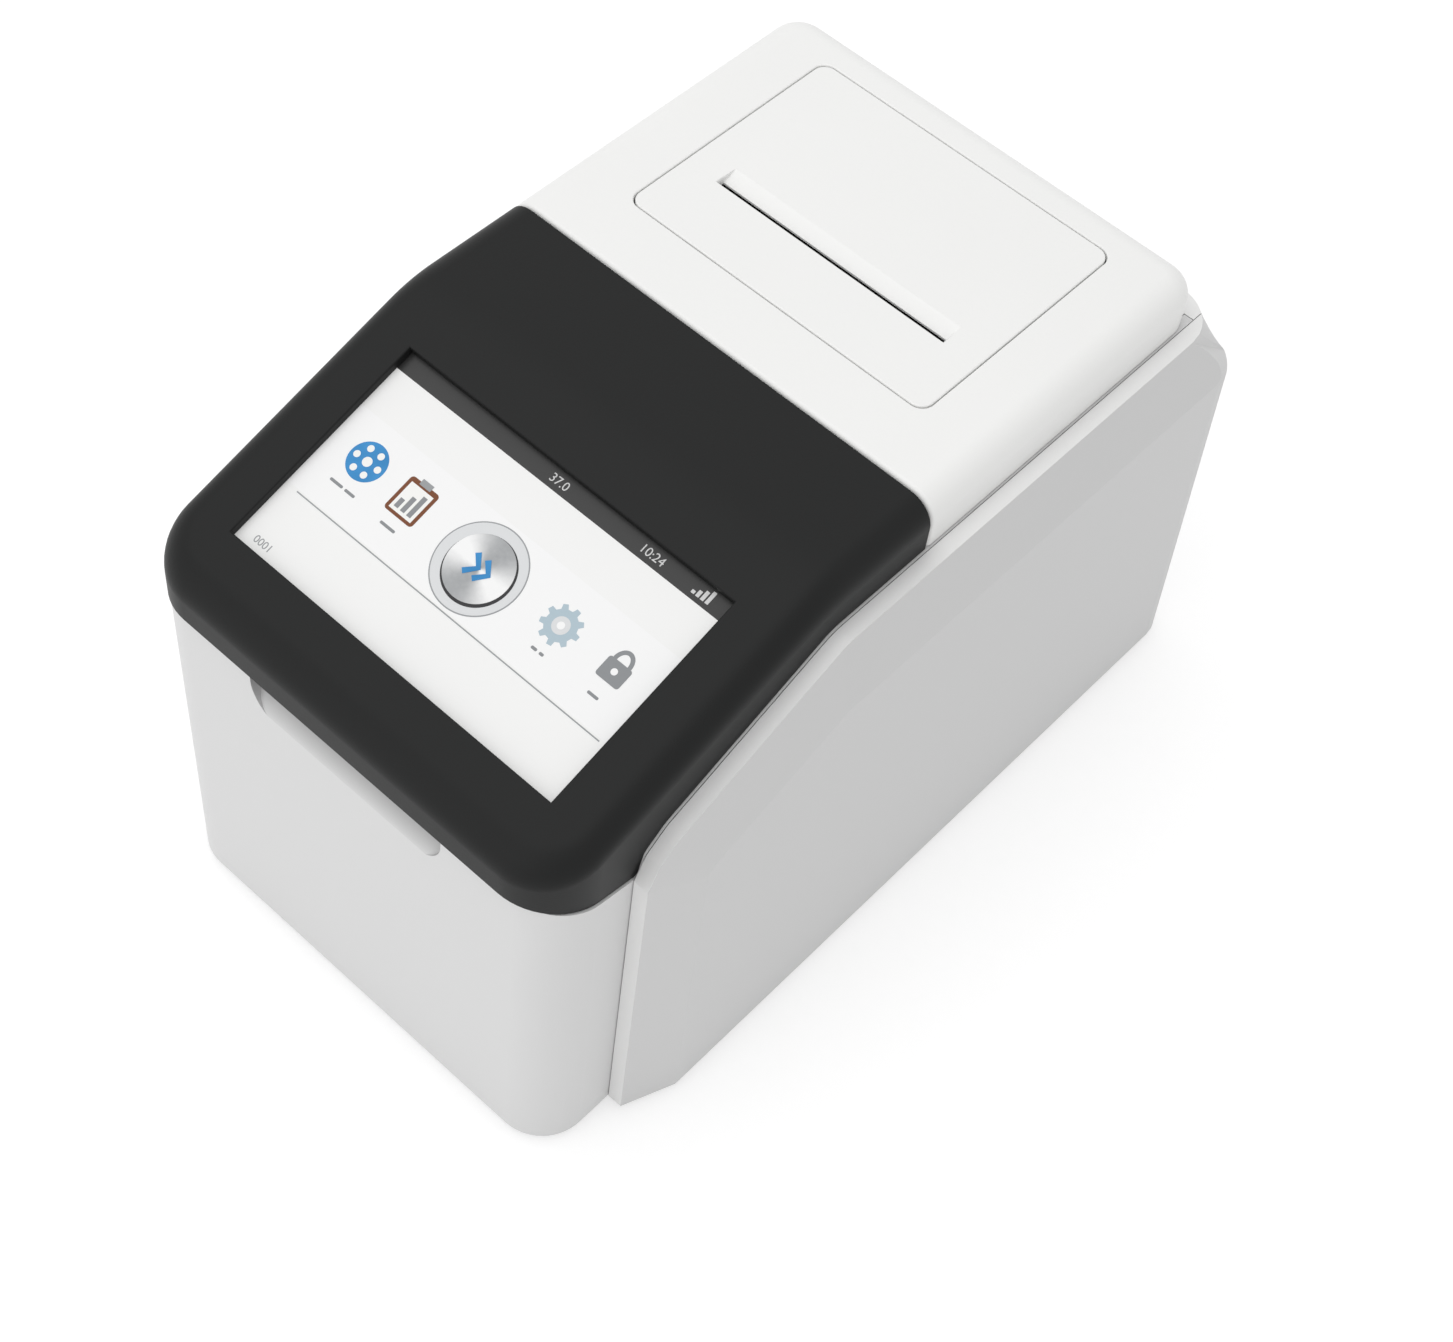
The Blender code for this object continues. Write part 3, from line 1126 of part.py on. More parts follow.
def make_printer():
    """The receipt printer in its frame on the bulkhead: head, platen, gears, motor and paper roll."""
    front = BULKHEAD_Y + PLATE + FIT_GAP
    floor = FRAME_LOW_Z
    half = FRAME_HALF
    frame = box((-half, front, floor), (half, FRAME_REAR_Y, floor + FRAME_WALL))
    within = floor + FRAME_WALL / 2
    add(frame, box((-half, front, within), (half, front + FRAME_WALL, BULKHEAD_TOP_Z)))
    add(frame, box((-half, FRAME_REAR_Y - FRAME_WALL, within), (half, FRAME_REAR_Y, BULKHEAD_TOP_Z)))
    seat_high = ROLL_Z - ROLL_RADIUS - FIT_GAP
    seat_low = (-ROLL_HALF, ROLL_Y - ROLL_CORE, within)
    add(frame, box(seat_low, (ROLL_HALF, ROLL_Y + ROLL_CORE, seat_high)))
    shoulder = PLATEN_RADIUS * 2
    cheek = [
        (FRAME_FRONT_Y, within),
        (FRAME_FRONT_Y, PLATEN_Z - shoulder),
        (PLATEN_Y - shoulder, FRAME_TOP_Z),
        (PLATEN_Y + PLATEN_RADIUS, FRAME_TOP_Z),
        (PLATEN_Y + shoulder, PLATEN_Z - shoulder),
        (FRAME_REAR_Y, BULKHEAD_TOP_Z),
        (FRAME_REAR_Y, within),
    ]
    for low in (-half, half - FRAME_WALL):
        add(frame, plate(cheek, low, low + FRAME_WALL))
    reach = (-half - OVERRUN, half + OVERRUN)
    cut(frame, rod(PLATEN_SHAFT + RUN_GAP, (PLATEN_Y, PLATEN_Z), *reach, "X", PIN_SIDES))
    drive_z = PLATEN_Z - PRINT_GEAR_CENTRES
    inside = half - FRAME_WALL
    cut(frame, rod(PLATEN_SHAFT, (PLATEN_Y, drive_z), inside - OVERRUN, half + OVERRUN, "X", PIN_SIDES))
    adopt(settle(frame), "printer_frame", "black_plastic")

    head_y = PLATEN_Y - PLATEN_RADIUS - FIT_GAP
    head = box((-inside + FIT_GAP, head_y - HEAD_THICK, PLATEN_Z - HEAD_HEIGHT / 2),
               (inside - FIT_GAP, head_y, PLATEN_Z + HEAD_HEIGHT / 2))
    adopt(head, "print_head", "aluminium")
    gear_near = half + PRINT_GAP
    gear_far = gear_near + PRINT_GEAR_WIDTH
    platen = rod(PLATEN_RADIUS, (PLATEN_Y, PLATEN_Z), -PLATEN_HALF, PLATEN_HALF, "X")
    ends = (-half - FIT_GAP, gear_near - FIT_GAP)
    add(platen, rod(PLATEN_SHAFT, (PLATEN_Y, PLATEN_Z), *ends, "X", PIN_SIDES))
    adopt(settle(platen), "platen_roller", "rubber", True)
    teeth = gear_outline(PRINT_GEAR_MODULE, PLATEN_TEETH, (PLATEN_Y, PLATEN_Z), -pi / 2)
    adopt(plate(teeth, gear_near, gear_far), "platen_gear", "gear_plastic")
    phase = pi / 2 + pi / PRINT_TEETH
    teeth = gear_outline(PRINT_GEAR_MODULE, PRINT_TEETH, (PLATEN_Y, drive_z), phase)
    drive = plate(teeth, gear_near, gear_far)
    ends = (inside, gear_near + PRINT_GAP)
    add(drive, rod(PLATEN_SHAFT - FIT_GAP, (PLATEN_Y, drive_z), *ends, "X", PIN_SIDES))
    adopt(settle(drive), "printer_pinion", "brass")
    motor_far = inside - FIT_GAP
    motor = rod(PRINT_MOTOR_RADIUS, (PLATEN_Y, drive_z), motor_far - PRINT_MOTOR_LENGTH, motor_far, "X")
    adopt(motor, "printer_motor", "steel", True)
    roll = rod(ROLL_RADIUS, (ROLL_Y, ROLL_Z), -ROLL_HALF, ROLL_HALF, "X", ROLL_SIDES)
    cut(roll, rod(ROLL_CORE, (ROLL_Y, ROLL_Z), -ROLL_HALF - OVERRUN, ROLL_HALF + OVERRUN, "X"))
    adopt(settle(roll), "paper_roll", "paper", True)


def make_electronics():
    """The main board and power supply on the base."""
    low = BASE_TOP_Z + FIT_GAP
    board_low = low + STANDOFF
    board = box((BOARD_X - BOARD_HALF_X, BOARD_FRONT_Y, board_low),
                (BOARD_X + BOARD_HALF_X, BOARD_REAR_Y, board_low + BOARD_THICK))
    inset = 2 * STANDOFF_RADIUS
    for x in (BOARD_X - BOARD_HALF_X + inset, BOARD_X + BOARD_HALF_X - inset):
        for y in (BOARD_FRONT_Y + inset, BOARD_REAR_Y - inset):
            add(board, rod(STANDOFF_RADIUS, (x, y), low, board_low + BOARD_THICK / 2, sides=LEG_SIDES))
    top = board_low + BOARD_THICK
    for x_share, y_share, size_share in CHIP_SHARES:
        x = BOARD_X + BOARD_HALF_X * x_share
        y = BOARD_FRONT_Y + (BOARD_REAR_Y - BOARD_FRONT_Y) * y_share
        half = CHIP_SIDE / 2 * size_share
        add(board, box((x - half, y - half, top - BOARD_THICK / 2), (x + half, y + half, top + CHIP_HEIGHT)))
    adopt(settle(board), "main_board", "circuit")
    supply = box((SUPPLY_X - SUPPLY_HALF_X, BOARD_FRONT_Y, low),
                 (SUPPLY_X + SUPPLY_HALF_X, SUPPLY_REAR_Y, low + SUPPLY_HEIGHT))
    bevel_edges(supply, lambda edge: all(v.co.z > low + FIT_GAP for v in edge.verts), SHEET_METAL, 1)
    adopt(supply, "power_supply", "steel")


def socket(name, place, half, depth, wall, finish):
    """A connector's body behind the rear panel, open at its outer end."""
    half_u, half_v = half
    body = box((-half_u, -depth, -half_v), (half_u, PORT_WALL, half_v))
    mouth_low = (wall - half_u, 2 * wall - depth, wall - half_v)
    cut(body, box(mouth_low, (half_u - wall, PORT_WALL + OVERRUN, half_v - wall)))
    settle(body)
    return adopt(on_rear(body, *place), name, finish)


def make_rear_fittings():
    """Inlet, switch, ports and fan, each set in the leaning rear face."""
    socket("power_inlet", (INLET_U, INLET_V), (INLET_HALF_U, INLET_HALF_V), INLET_DEPTH,
           INLET_CAVITY_INSET, "black_plastic")
    socket("network_port", (NETWORK_U, PORT_V), (NETWORK_HALF_U, NETWORK_HALF_V), PORT_DEPTH,
           PORT_WALL, "steel")
    socket("usb_port", (USB_U, PORT_V), (USB_HALF_U, USB_HALF_V), PORT_DEPTH,
           PORT_WALL * USB_WALL_SHARE, "steel")
    socket("serial_port", (SERIAL_U, PORT_V), (SERIAL_HALF_U, SERIAL_HALF_V), PORT_DEPTH,
           PORT_WALL, "steel")

    frame = box((-SWITCH_HALF_U, -SWITCH_DEPTH, -SWITCH_HALF_V), (SWITCH_HALF_U, PORT_WALL, SWITCH_HALF_V))
    cavity_u = SWITCH_HALF_U - PORT_WALL
    cavity_v = SWITCH_HALF_V - PORT_WALL * SWITCH_WALL_SHARE
    cavity_low = (-cavity_u, PORT_WALL - SWITCH_DEPTH, -cavity_v)
    cut(frame, box(cavity_low, (cavity_u, PORT_WALL + OVERRUN, cavity_v)))
    adopt(on_rear(settle(frame), INLET_U, SWITCH_V), "switch_frame", "black_plastic")
    long = cavity_v - ROCKER_MARGIN
    short = long * ROCKER_FOOT_SHARE
    outline = [(ROCKER_CREST, -long), (0, 0), (ROCKER_CREST, long), (-ROCKER_DEPTH, short),
               (-ROCKER_DEPTH, -short)]
    rocker = plate(outline, -cavity_u + FIT_GAP, cavity_u - FIT_GAP)
    rocker.data.transform(Matrix.Rotation(ROCKER_SWING, 4, "X"))
    adopt(on_rear(rocker, INLET_U, SWITCH_V, -ROCKER_SINK), "power_rocker", "rubber")

    back = -REAR_WALL - FIT_GAP
    half = FAN_SIDE / 2
    frame = box((-half, back - FAN_DEPTH, -half), (half, back, half))
    cut(frame, rod(FAN_BORE, (0, 0), back - FAN_DEPTH - OVERRUN, back + OVERRUN, "Y", ROLL_SIDES))
    mount = back - FAN_DEPTH + FAN_WALL
    for k in range(3):
        strut = box((-FAN_WALL, back - FAN_DEPTH, 0), (FAN_WALL, mount, FAN_BORE + FAN_WALL))
        strut.data.transform(Matrix.Rotation(2 * pi * k / 3, 4, "Y"))
        add(frame, strut)
    add(frame, rod(FAN_HUB, (0, 0), back - FAN_DEPTH, mount, "Y"))
    adopt(on_rear(settle(frame), FAN_U, FAN_V), "fan_frame", "black_plastic")
    rotor = rod(FAN_HUB, (0, 0), mount + FIT_GAP, back - FAN_WALL, "Y")
    for k in range(FAN_BLADES):
        half_u = FAN_HUB * BLADE_HALF_SHARE
        blade = box((-half_u, -FAN_WALL / 2, FAN_HUB * BLADE_ROOT_SHARE),
                    (half_u, FAN_WALL / 2, FAN_BORE - FAN_WALL))
        pitch = Matrix.Rotation(FAN_PITCH, 4, "Z")
        middle = Matrix.Translation((0, (mount + back) / 2, 0))
        blade.data.transform(Matrix.Rotation(2 * pi * k / FAN_BLADES, 4, "Y") @ middle @ pitch)
        add(rotor, blade)
    adopt(on_rear(settle(rotor), FAN_U, FAN_V), "fan_rotor", "black_plastic", True)


def main():
    clear_scene()
    make_lower_housing()
    make_side_panels()
    make_top_cover()
    make_rear_panel()
    make_base()
    make_lid()
    make_display()
    make_hinge()
    make_hatch()
    make_plates()
    make_turntable()
    make_heater()
    make_optics()
    make_printer()
    make_electronics()
    make_rear_fittings()


main()
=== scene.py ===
import json
from math import atan2, cos, hypot, pi, radians, sin

import bmesh
import bpy
from bpy.props import FloatProperty, FloatVectorProperty, PointerProperty
from mathutils import Matrix, Vector


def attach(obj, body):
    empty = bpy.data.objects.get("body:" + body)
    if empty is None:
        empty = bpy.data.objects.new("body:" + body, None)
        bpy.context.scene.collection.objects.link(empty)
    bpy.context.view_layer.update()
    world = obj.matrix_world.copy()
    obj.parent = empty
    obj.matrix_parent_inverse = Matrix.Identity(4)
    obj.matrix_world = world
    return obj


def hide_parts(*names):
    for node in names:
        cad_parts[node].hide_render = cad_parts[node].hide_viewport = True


bl_info = {
    "name": "Dry chemistry analyzer dressing",
    "version": (1, 0, 0),
    "blender": (4, 5, 0),
    "location": "View3D > Sidebar > Analyzer",
    "description": "Shells, screen, fittings and stage for a desktop dry chemistry analyzer",
    "category": "Object",
}

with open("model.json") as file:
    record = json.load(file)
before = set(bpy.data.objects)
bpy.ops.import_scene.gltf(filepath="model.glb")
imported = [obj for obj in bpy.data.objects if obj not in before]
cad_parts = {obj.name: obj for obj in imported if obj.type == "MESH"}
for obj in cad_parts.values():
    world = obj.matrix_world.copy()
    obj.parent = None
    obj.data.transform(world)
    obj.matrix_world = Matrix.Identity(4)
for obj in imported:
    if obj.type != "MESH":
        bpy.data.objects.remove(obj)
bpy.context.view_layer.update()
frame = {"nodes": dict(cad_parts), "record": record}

# The lid's slope runs from the window's upper edge down to its lower edge.
SLOPE_ANGLE = 0.3291
WINDOW_TOP = Vector((0, -0.0403 - 0.0136 * cos(SLOPE_ANGLE), 0.1513 - 0.0136 * sin(SLOPE_ANGLE)))
WINDOW_LENGTH = 0.0807 / cos(SLOPE_ANGLE) - 0.0136 - 0.0157
# The CAD's main places, in metres
ROOF_Z = 0.1513
SEAM_Y = -0.0067
SEAM_GAP = 0.0005
NOSE_Y = -0.121
COVER_REAR_Y = 0.0925
COVER_LOW_Z = 0.1374
LEDGE_Z = 0.1369
COVER_HALF = 0.0631
BODY_HALF = 0.0635
FRONT_Y = -0.1191
FOOT_Z = 0.0025
REAR_LINE = [(0.0981, 0.1369), (0.1074, 0.1188), (0.121, 0.0025)]
REAR_SETBACK = 0.0066
REAR_THICK = 0.003
EDGE_LINE = [(-0.0948, 0.1045), (-0.093, 0.1115), (-0.087, 0.1165), (-0.038, 0.1374)]
NOSE_EDGE_Z = 0.1105
EDGE_RADII = (0.0008, 0.0040, 0.0060, 0.0120)
SLOPE = (0.1469 - 0.1288) / (0.1062 - 0.0532)
PANEL_INNER = 0.0637
LEDGE_HALF = 0.0677
PANEL_HALF = 0.0731
LEDGE_CORNER = 0.0125
PANEL_CORNER = 0.010
SHELF_Y = 0.088
SHELF_Z = 0.1347
SHELF_HALF = 0.0607
HATCH = (-0.044, 0.0118, 0.044, 0.0804)
HATCH_AXIS = (0.0724, 0.1483)
PIN_HOLE = 0.0012
COVER_LUG = (0.0455, 0.0485)
HATCH_LUG = (0.0405, 0.0435)
SLIT_FRONT = 0.031
SLIT_REAR = 0.0332
SLIT_RAMP = 0.0375
SLIT_HALF = 0.034
SCOOP_RISE = 0.0165
RIM_TOP = 0.113
ROLL_PLACE = (0.0607, 0.1225)
VENT_RADIUS = 0.0185
VENT_PLACES = ((-0.030, 0.075), (0.030, 0.075))
VENT_SLOTS = 8
VENT_HALF = 0.0011
# The rear face's cut-outs: place across and up, half width and half height
REAR_HOLES = [
    ((0.036, 0.021), (0.0141, 0.0101)),
    ((0.036, 0.042), (0.0108, 0.0078)),
    ((-0.044, 0.0165), (0.0083, 0.0068)),
    ((-0.026, 0.0165), (0.0071, 0.0039)),
    ((-0.003, 0.0165), (0.0098, 0.0058)),
]
# Places across the rear panel, denser where its corner curves
REAR_COLUMNS = (0.0635, 0.0629, 0.0622, 0.0615, 0.0608, 0.0606, 0.0600, 0.0590, 0.0580, 0.0560, 0.0540)
OVERRUN = 0.002
# How near two points, or two places, count as one
CLOSE = 0.00001
WELD = 0.000002
REPEAT = 0.0000015

# The side slab's flat face: its front, its bent front corner, and where its top runs to
MAIN_LINE = [(-0.083, FOOT_Z), (-0.083, 0.1035), (-0.0408, 0.1204), (0.107, 0.1188)]
MAIN_ROUND = 0.004

# The stage
SENSOR_WIDTH = 36
KEY_PLACE = (-0.25, -0.20, 1.3)
KEY_SIZE = 1.4
FILL_PLACE = (-0.2, -1.2, 0.6)
FILL_SIZE = 1.0
FLOOR_TONE = (0.97, 0.97, 0.97, 1)
# How much of the floor that the camera sees is plain light, and how strong that light is
FLOOR_GLOW_SHARE = 0.45
FLOOR_GLOW = 1.25


def length(name, text, value, **extra):
    """A size property in metres."""
    return FloatProperty(name=name, description=text, default=value, unit="LENGTH", precision=5, **extra)


def turn(name, text, degrees):
    """An angle property."""
    return FloatProperty(name=name, description=text, default=radians(degrees), subtype="ANGLE")


def power(name, text, watts):
    """A lamp's power property."""
    return FloatProperty(name=name, description=text, default=watts, subtype="POWER")


def colour(name, text, value):
    """A colour property."""
    return FloatVectorProperty(
        name=name, description=text, default=value, size=3, subtype="COLOR", min=0, max=1)


class AnalyzerSizes(bpy.types.PropertyGroup):
    """Sizes of the modelled shells that a user would change."""

    shell: length("Shell wall", "Thickness of the moulded shells", 0.0022)
    housing_wall: length("Housing wall", "Thickness of the front housing", 0.0025)
    rim: length("Rim rounding", "Small rounding of the shells' free edges", 0.0004)
    roof_round: length("Roof rounding", "Rounding between roof and sides", 0.0068)
    visor_corner: length("Visor corner", "Plan radius of the visor's front corners", 0.015)
    cover_corner: length("Cover corner", "Plan radius of the cover's rear corners", 0.0085)
    housing_corner: length("Housing corner", "Plan radius of the housing's front corners", 0.0126)
    crease_round: length("Crease softness", "Reach of the soft crease on each side", 0.007)
    seam_round: length("Seam rounding", "Rounding of the cover's edge at the seam", 0.0015)
    window_half: length("Window half width", "Half the display window's width", 0.048)
    window_round: length("Window edge", "Rounding of the window's outer edge", 0.0005)
    hatch_gap: length("Hatch gap", "Gap round the printer hatch", 0.0003)
    hatch_corner: length("Hatch corner", "Radius of the hatch's corners", 0.0035)
    scoop_half: length("Scoop half width", "Half the width of the finger scoop", 0.0295)
    scoop_depth: length("Scoop depth", "Depth of the finger scoop", 0.0075)
    scoop_low: length("Scoop low edge", "Height of the scoop's lower edge", 0.0945)
    scoop_corner: length("Scoop corner", "Radius of the scoop's lower corners", 0.010)


class AnalyzerColours(bpy.types.PropertyGroup):
    """Colours of the finishes."""

    cover: colour("White cover", "Roof cover and printer hatch", (0.86, 0.86, 0.85))
    housing: colour("White housing", "Front housing", (0.68, 0.68, 0.68))
    panel: colour("Grey panel", "Side and rear panels", (0.635, 0.635, 0.635))
    ledge: colour("White ledge", "Bright strip between cover and side panel", (0.84, 0.84, 0.835))
    visor: colour("Dark visor", "Display lid", (0.012, 0.0125, 0.0125))
    screen: colour("Screen", "Lit ground of the display", (0.60, 0.60, 0.595))
    band: colour("Screen band", "Brighter band behind the icons", (0.615, 0.615, 0.615))
    header: colour("Screen header", "Dark bar at the display's upper edge", (0.034, 0.034, 0.034))
    blue: colour("Icon blue", "Blue of the icons", (0.008, 0.20, 0.50))
    brown: colour("Icon brown", "Wooden brown of the record icon", (0.17, 0.050, 0.014))
    steel: colour("Icon steel", "Light steel of the tool icon", (0.40, 0.50, 0.56))
    metal: colour("Zinc plate", "Plated sheet and turned steel", (0.56, 0.57, 0.58))
    circuit: colour("Circuit board", "Solder mask", (0.02, 0.15, 0.07))


class StageSettings(bpy.types.PropertyGroup):
    """Camera, lamps and ground."""

    azimuth: turn("Azimuth", "Camera's turn from the front", 35.196)
    elevation: turn("Elevation", "Camera's height angle", 54.481)
    roll: turn("Roll", "Camera's roll", 8.65)
    distance: length("Distance", "From the camera to its target", 0.6358)
    target: FloatVectorProperty(
        name="Target", description="Point that the camera faces",
        default=(0.0156, -0.0063, 0.0423), subtype="XYZ")
    lens: FloatProperty(name="Lens", description="Focal length in millimetres", default=62.395)
    key: power("Key lamp", "Power of the large lamp overhead", 5.5)
    fill: power("Fill lamp", "Power of the lamp in front", 2.0)
    sky: FloatProperty(name="Sky", description="Strength of the even light from all round", default=0.72)


class Wire:
    """A node's output, with arithmetic that adds the nodes for it."""

    def __init__(self, nodes, socket):
        self.nodes = nodes
        self.socket = socket

    def _math(self, operation, *values):
        return self.nodes.add("ShaderNodeMath", {"operation": operation}, *values)

    def __add__(self, other):
        return self._math("ADD", self, other)

    __radd__ = __add__

    def __mul__(self, other):
        return self._math("MULTIPLY", self, other)

    __rmul__ = __mul__

    def __sub__(self, other):
        return self._math("SUBTRACT", self, other)

    def __rsub__(self, other):
        return self._math("SUBTRACT", other, self)

    def turn(self, other):
        """The angle of the point whose sine part is self and cosine part other."""
        return self._math("ARCTAN2", self, other)

    def cosine(self):
        return self._math("COSINE", self)

    def power(self, other):
        return self._math("POWER", self, other)

    def clamped(self):
        return self.nodes.add("ShaderNodeClamp", {}, self)


class Finish:
    """A material being built: its node tree, its shader and one way to add a node."""

    def __init__(self, name, base, roughness, metallic=0.0):
        self.material = bpy.data.materials.new(name)
        self.material.use_nodes = True
        self.tree = self.material.node_tree
        self.shader = self.tree.nodes["Principled BSDF"]
        self.constant("Base Color", (*base, 1))
        self.constant("Roughness", roughness)
        self.constant("Metallic", metallic)

    def constant(self, socket, value):
        self.shader.inputs[socket].default_value = value
        return self

    def add(self, kind, settings, *values, output=0, **named):
        """Adds a node. settings are set first, then the sockets in order or by name."""
        node = self.tree.nodes.new(kind)
        for key, value in settings.items():
            if key == "stops":
                ramp = node.color_ramp
                for place, shade in value[1:-1]:
                    ramp.elements.new(place)
                for element, (place, shade) in zip(ramp.elements, value):
                    element.position = place
                    element.color = shade
            else:
                setattr(node, key, value)
        keyed = list(enumerate(values)) + list(named.items())
        for key, value in keyed:
            if isinstance(key, str) and key not in node.inputs:
                key = key.replace("_", " ")
            if isinstance(value, Wire):
                self.tree.links.new(value.socket, node.inputs[key])
            else:
                node.inputs[key].default_value = value
        return Wire(self, node.outputs[output])

    def place(self, scale=1.0, stretch=None):
        """The object's own coordinates, in metres, times a scale."""
        where = self.add("ShaderNodeTexCoord", {}, output="Object")
        factors = stretch or (scale, scale, scale)
        return self.add("ShaderNodeMapping", {}, where, Scale=factors)

    def noise(self, where, size, detail=3.0, rough=0.55):
        return self.add("ShaderNodeTexNoise", {}, Vector=where, Scale=size, Detail=detail, Roughness=rough)

    def mix(self, share, first, second):
        """A colour between two colours."""
        node = self.tree.nodes.new("ShaderNodeMix")
        node.data_type = "RGBA"
        for key, value in ((0, share), (6, first), (7, second)):
            if isinstance(value, Wire):
                self.tree.links.new(value.socket, node.inputs[key])
            else:
                node.inputs[key].default_value = value
        return Wire(self, node.outputs[2])

    def drive(self, socket, wire):
        self.tree.links.new(wire.socket, self.shader.inputs[socket])
        return self

    def bump(self, height, distance, strength=1.0):
        """Turns a height into the surface's normal."""
        normal = self.add("ShaderNodeBump", {}, Height=height, Distance=distance, Strength=strength)
        return self.drive("Normal", normal)


def dimmed(base, share=1.0):
    """An opaque colour for a socket: a share of a base colour."""
    return (*[min(c * share, 1) for c in base], 1)


def moulded(name, base, roughness, grain=0.00002, spread=0.025, gleam=0.5, shade=None):
    """Moulded plastic: spark grain, slight variation of shade and gloss. shade, when given, paints shade on
    it, darker with height.
    """
    finish = Finish(name, base, roughness)
    where = finish.place()
    broad = finish.noise(where, 18.0, 2.0)
    fine = finish.noise(where, 2600.0, 2.0, 0.6)
    tone = finish.mix(broad * 0.7 + fine * 0.3, dimmed(base, 1 - spread), dimmed(base, 1 + spread))
    # Painted shade: between the heights low and high the colour darkens to the share left of its base.
    if shade:
        low, high, left = shade
        height = finish.add("ShaderNodeSeparateXYZ", {}, where, output="Z")
        tone = finish.mix(((height - low) * (1 / (high - low))).clamped(), tone, dimmed(base, left))
    finish.drive("Base Color", tone)
    finish.drive("Roughness", broad * 0.08 + fine * 0.05 + (roughness - 0.065))
    finish.constant("Specular IOR Level", gleam)
    finish.bump(fine, grain)
    return finish.material


def plated(name, base, roughness, stretch=(900, 40, 900), depth=0.00001):
    """Brushed or plated metal with fine drawn lines."""
    finish = Finish(name, base, roughness, 1.0)
    lines = finish.noise(finish.place(stretch=stretch), 1.0, 4.0)
    cloud = finish.noise(finish.place(), 60.0, 3.0)
    finish.drive("Base Color", finish.mix(lines * 0.5 + cloud * 0.5, dimmed(base, 0.82), dimmed(base)))
    finish.drive("Roughness", lines * 0.16 + cloud * 0.12 + (roughness - 0.14))
    finish.bump(lines, depth)
    return finish.material


def rubbery(name, base):
    """Matt rubber with a dusty bloom."""
    finish = Finish(name, base, 0.85)
    cloud = finish.noise(finish.place(), 140.0, 4.0)
    bloom = (*[c + 0.03 for c in base], 1)
    finish.drive("Base Color", finish.mix(cloud, dimmed(base), bloom))
    finish.bump(finish.noise(finish.place(), 1500.0, 2.0), 0.00003)
    return finish.material


def lit(name, base, strength=0.02):
    """A flat colour on the display, faintly lit from within."""
    finish = Finish(name, base, 0.35)
    glow = finish.noise(finish.place(), 30.0, 1.0)
    finish.drive("Base Color", finish.mix(glow, dimmed(base, 0.985), dimmed(base)))
    finish.constant("Emission Color", dimmed(base))
    finish.constant("Emission Strength", strength)
    finish.constant("Specular IOR Level", 0.3)
    return finish.material


def tube_glass(name, base):
    """Clear lens glass, tinted slightly."""
    finish = Finish(name, base, 0.05)
    haze = finish.noise(finish.place(), 400.0, 2.0)
    finish.drive("Roughness", haze * 0.04 + 0.03)
    finish.constant("Transmission Weight", 0.6)
    finish.constant("Coat Weight", 1.0)
    return finish.material


def paper_finish(name, base):
    """Thermal paper: fine fibre and the wound layers' lines."""
    finish = Finish(name, base, 0.75)
    fibre = finish.noise(finish.place(stretch=(500, 2500, 2500)), 1.0, 3.0)
    finish.drive("Base Color", finish.mix(fibre, dimmed(base, 0.9), dimmed(base)))
    finish.bump(fibre, 0.00002)
    return finish.material


def circuit_finish(name, base):
    """Solder mask with copper traces faintly raised below it."""
    finish = Finish(name, base, 0.35)
    where = finish.place(1.0)
    grid = {"feature": "F1", "distance": "MANHATTAN"}
    cells = finish.add("ShaderNodeTexVoronoi", grid, Vector=where, Scale=420.0)
    traces = (cells * 3.0).clamped()
    mask = finish.mix(traces, dimmed(base, 1.9), dimmed(base))
    cloud = finish.noise(where, 90.0, 2.0)
    finish.drive("Base Color", finish.mix(cloud * 0.3, mask, dimmed(base, 0.6)))
    finish.constant("Coat Weight", 0.5)
    finish.bump(traces, 0.00003)
    return finish.material


def button_finish(name, base):
    """The round button on the screen: metal brushed round its centre, lighter at two bearings."""
    finish = Finish(name, base, 0.3)
    split = finish.add("ShaderNodeUVMap", {})
    parts = [finish.add("ShaderNodeSeparateXYZ", {}, split, output=axis) for axis in ("X", "Y")]
    x, y = (part - 0.5 for part in parts)
    tone = ((y.turn(x) * 2.0 + 0.5).cosine() * 0.5 + 0.5).power(1.4)
    rings = finish.noise(finish.place(), 900.0, 2.0)
    dark, light = (0.30, 0.31, 0.32, 1), (0.86, 0.86, 0.86, 1)
    finish.drive("Base Color", finish.mix((tone + rings * 0.16).clamped(), dark, light))
    finish.constant("Specular IOR Level", 0.4)
    return finish.material


def blue_finish(name, base):
    """The icons' blue, lighter toward one side."""
    finish = Finish(name, base, 0.35)
    cloud = finish.noise(finish.place(), 110.0, 1.5)
    pale = (base[0] + 0.05, base[1] * 1.7, min(base[2] * 1.45, 1), 1)
    finish.drive("Base Color", finish.mix(cloud, dimmed(base, 0.72), pale))
    finish.constant("Specular IOR Level", 0.3)
    return finish.material


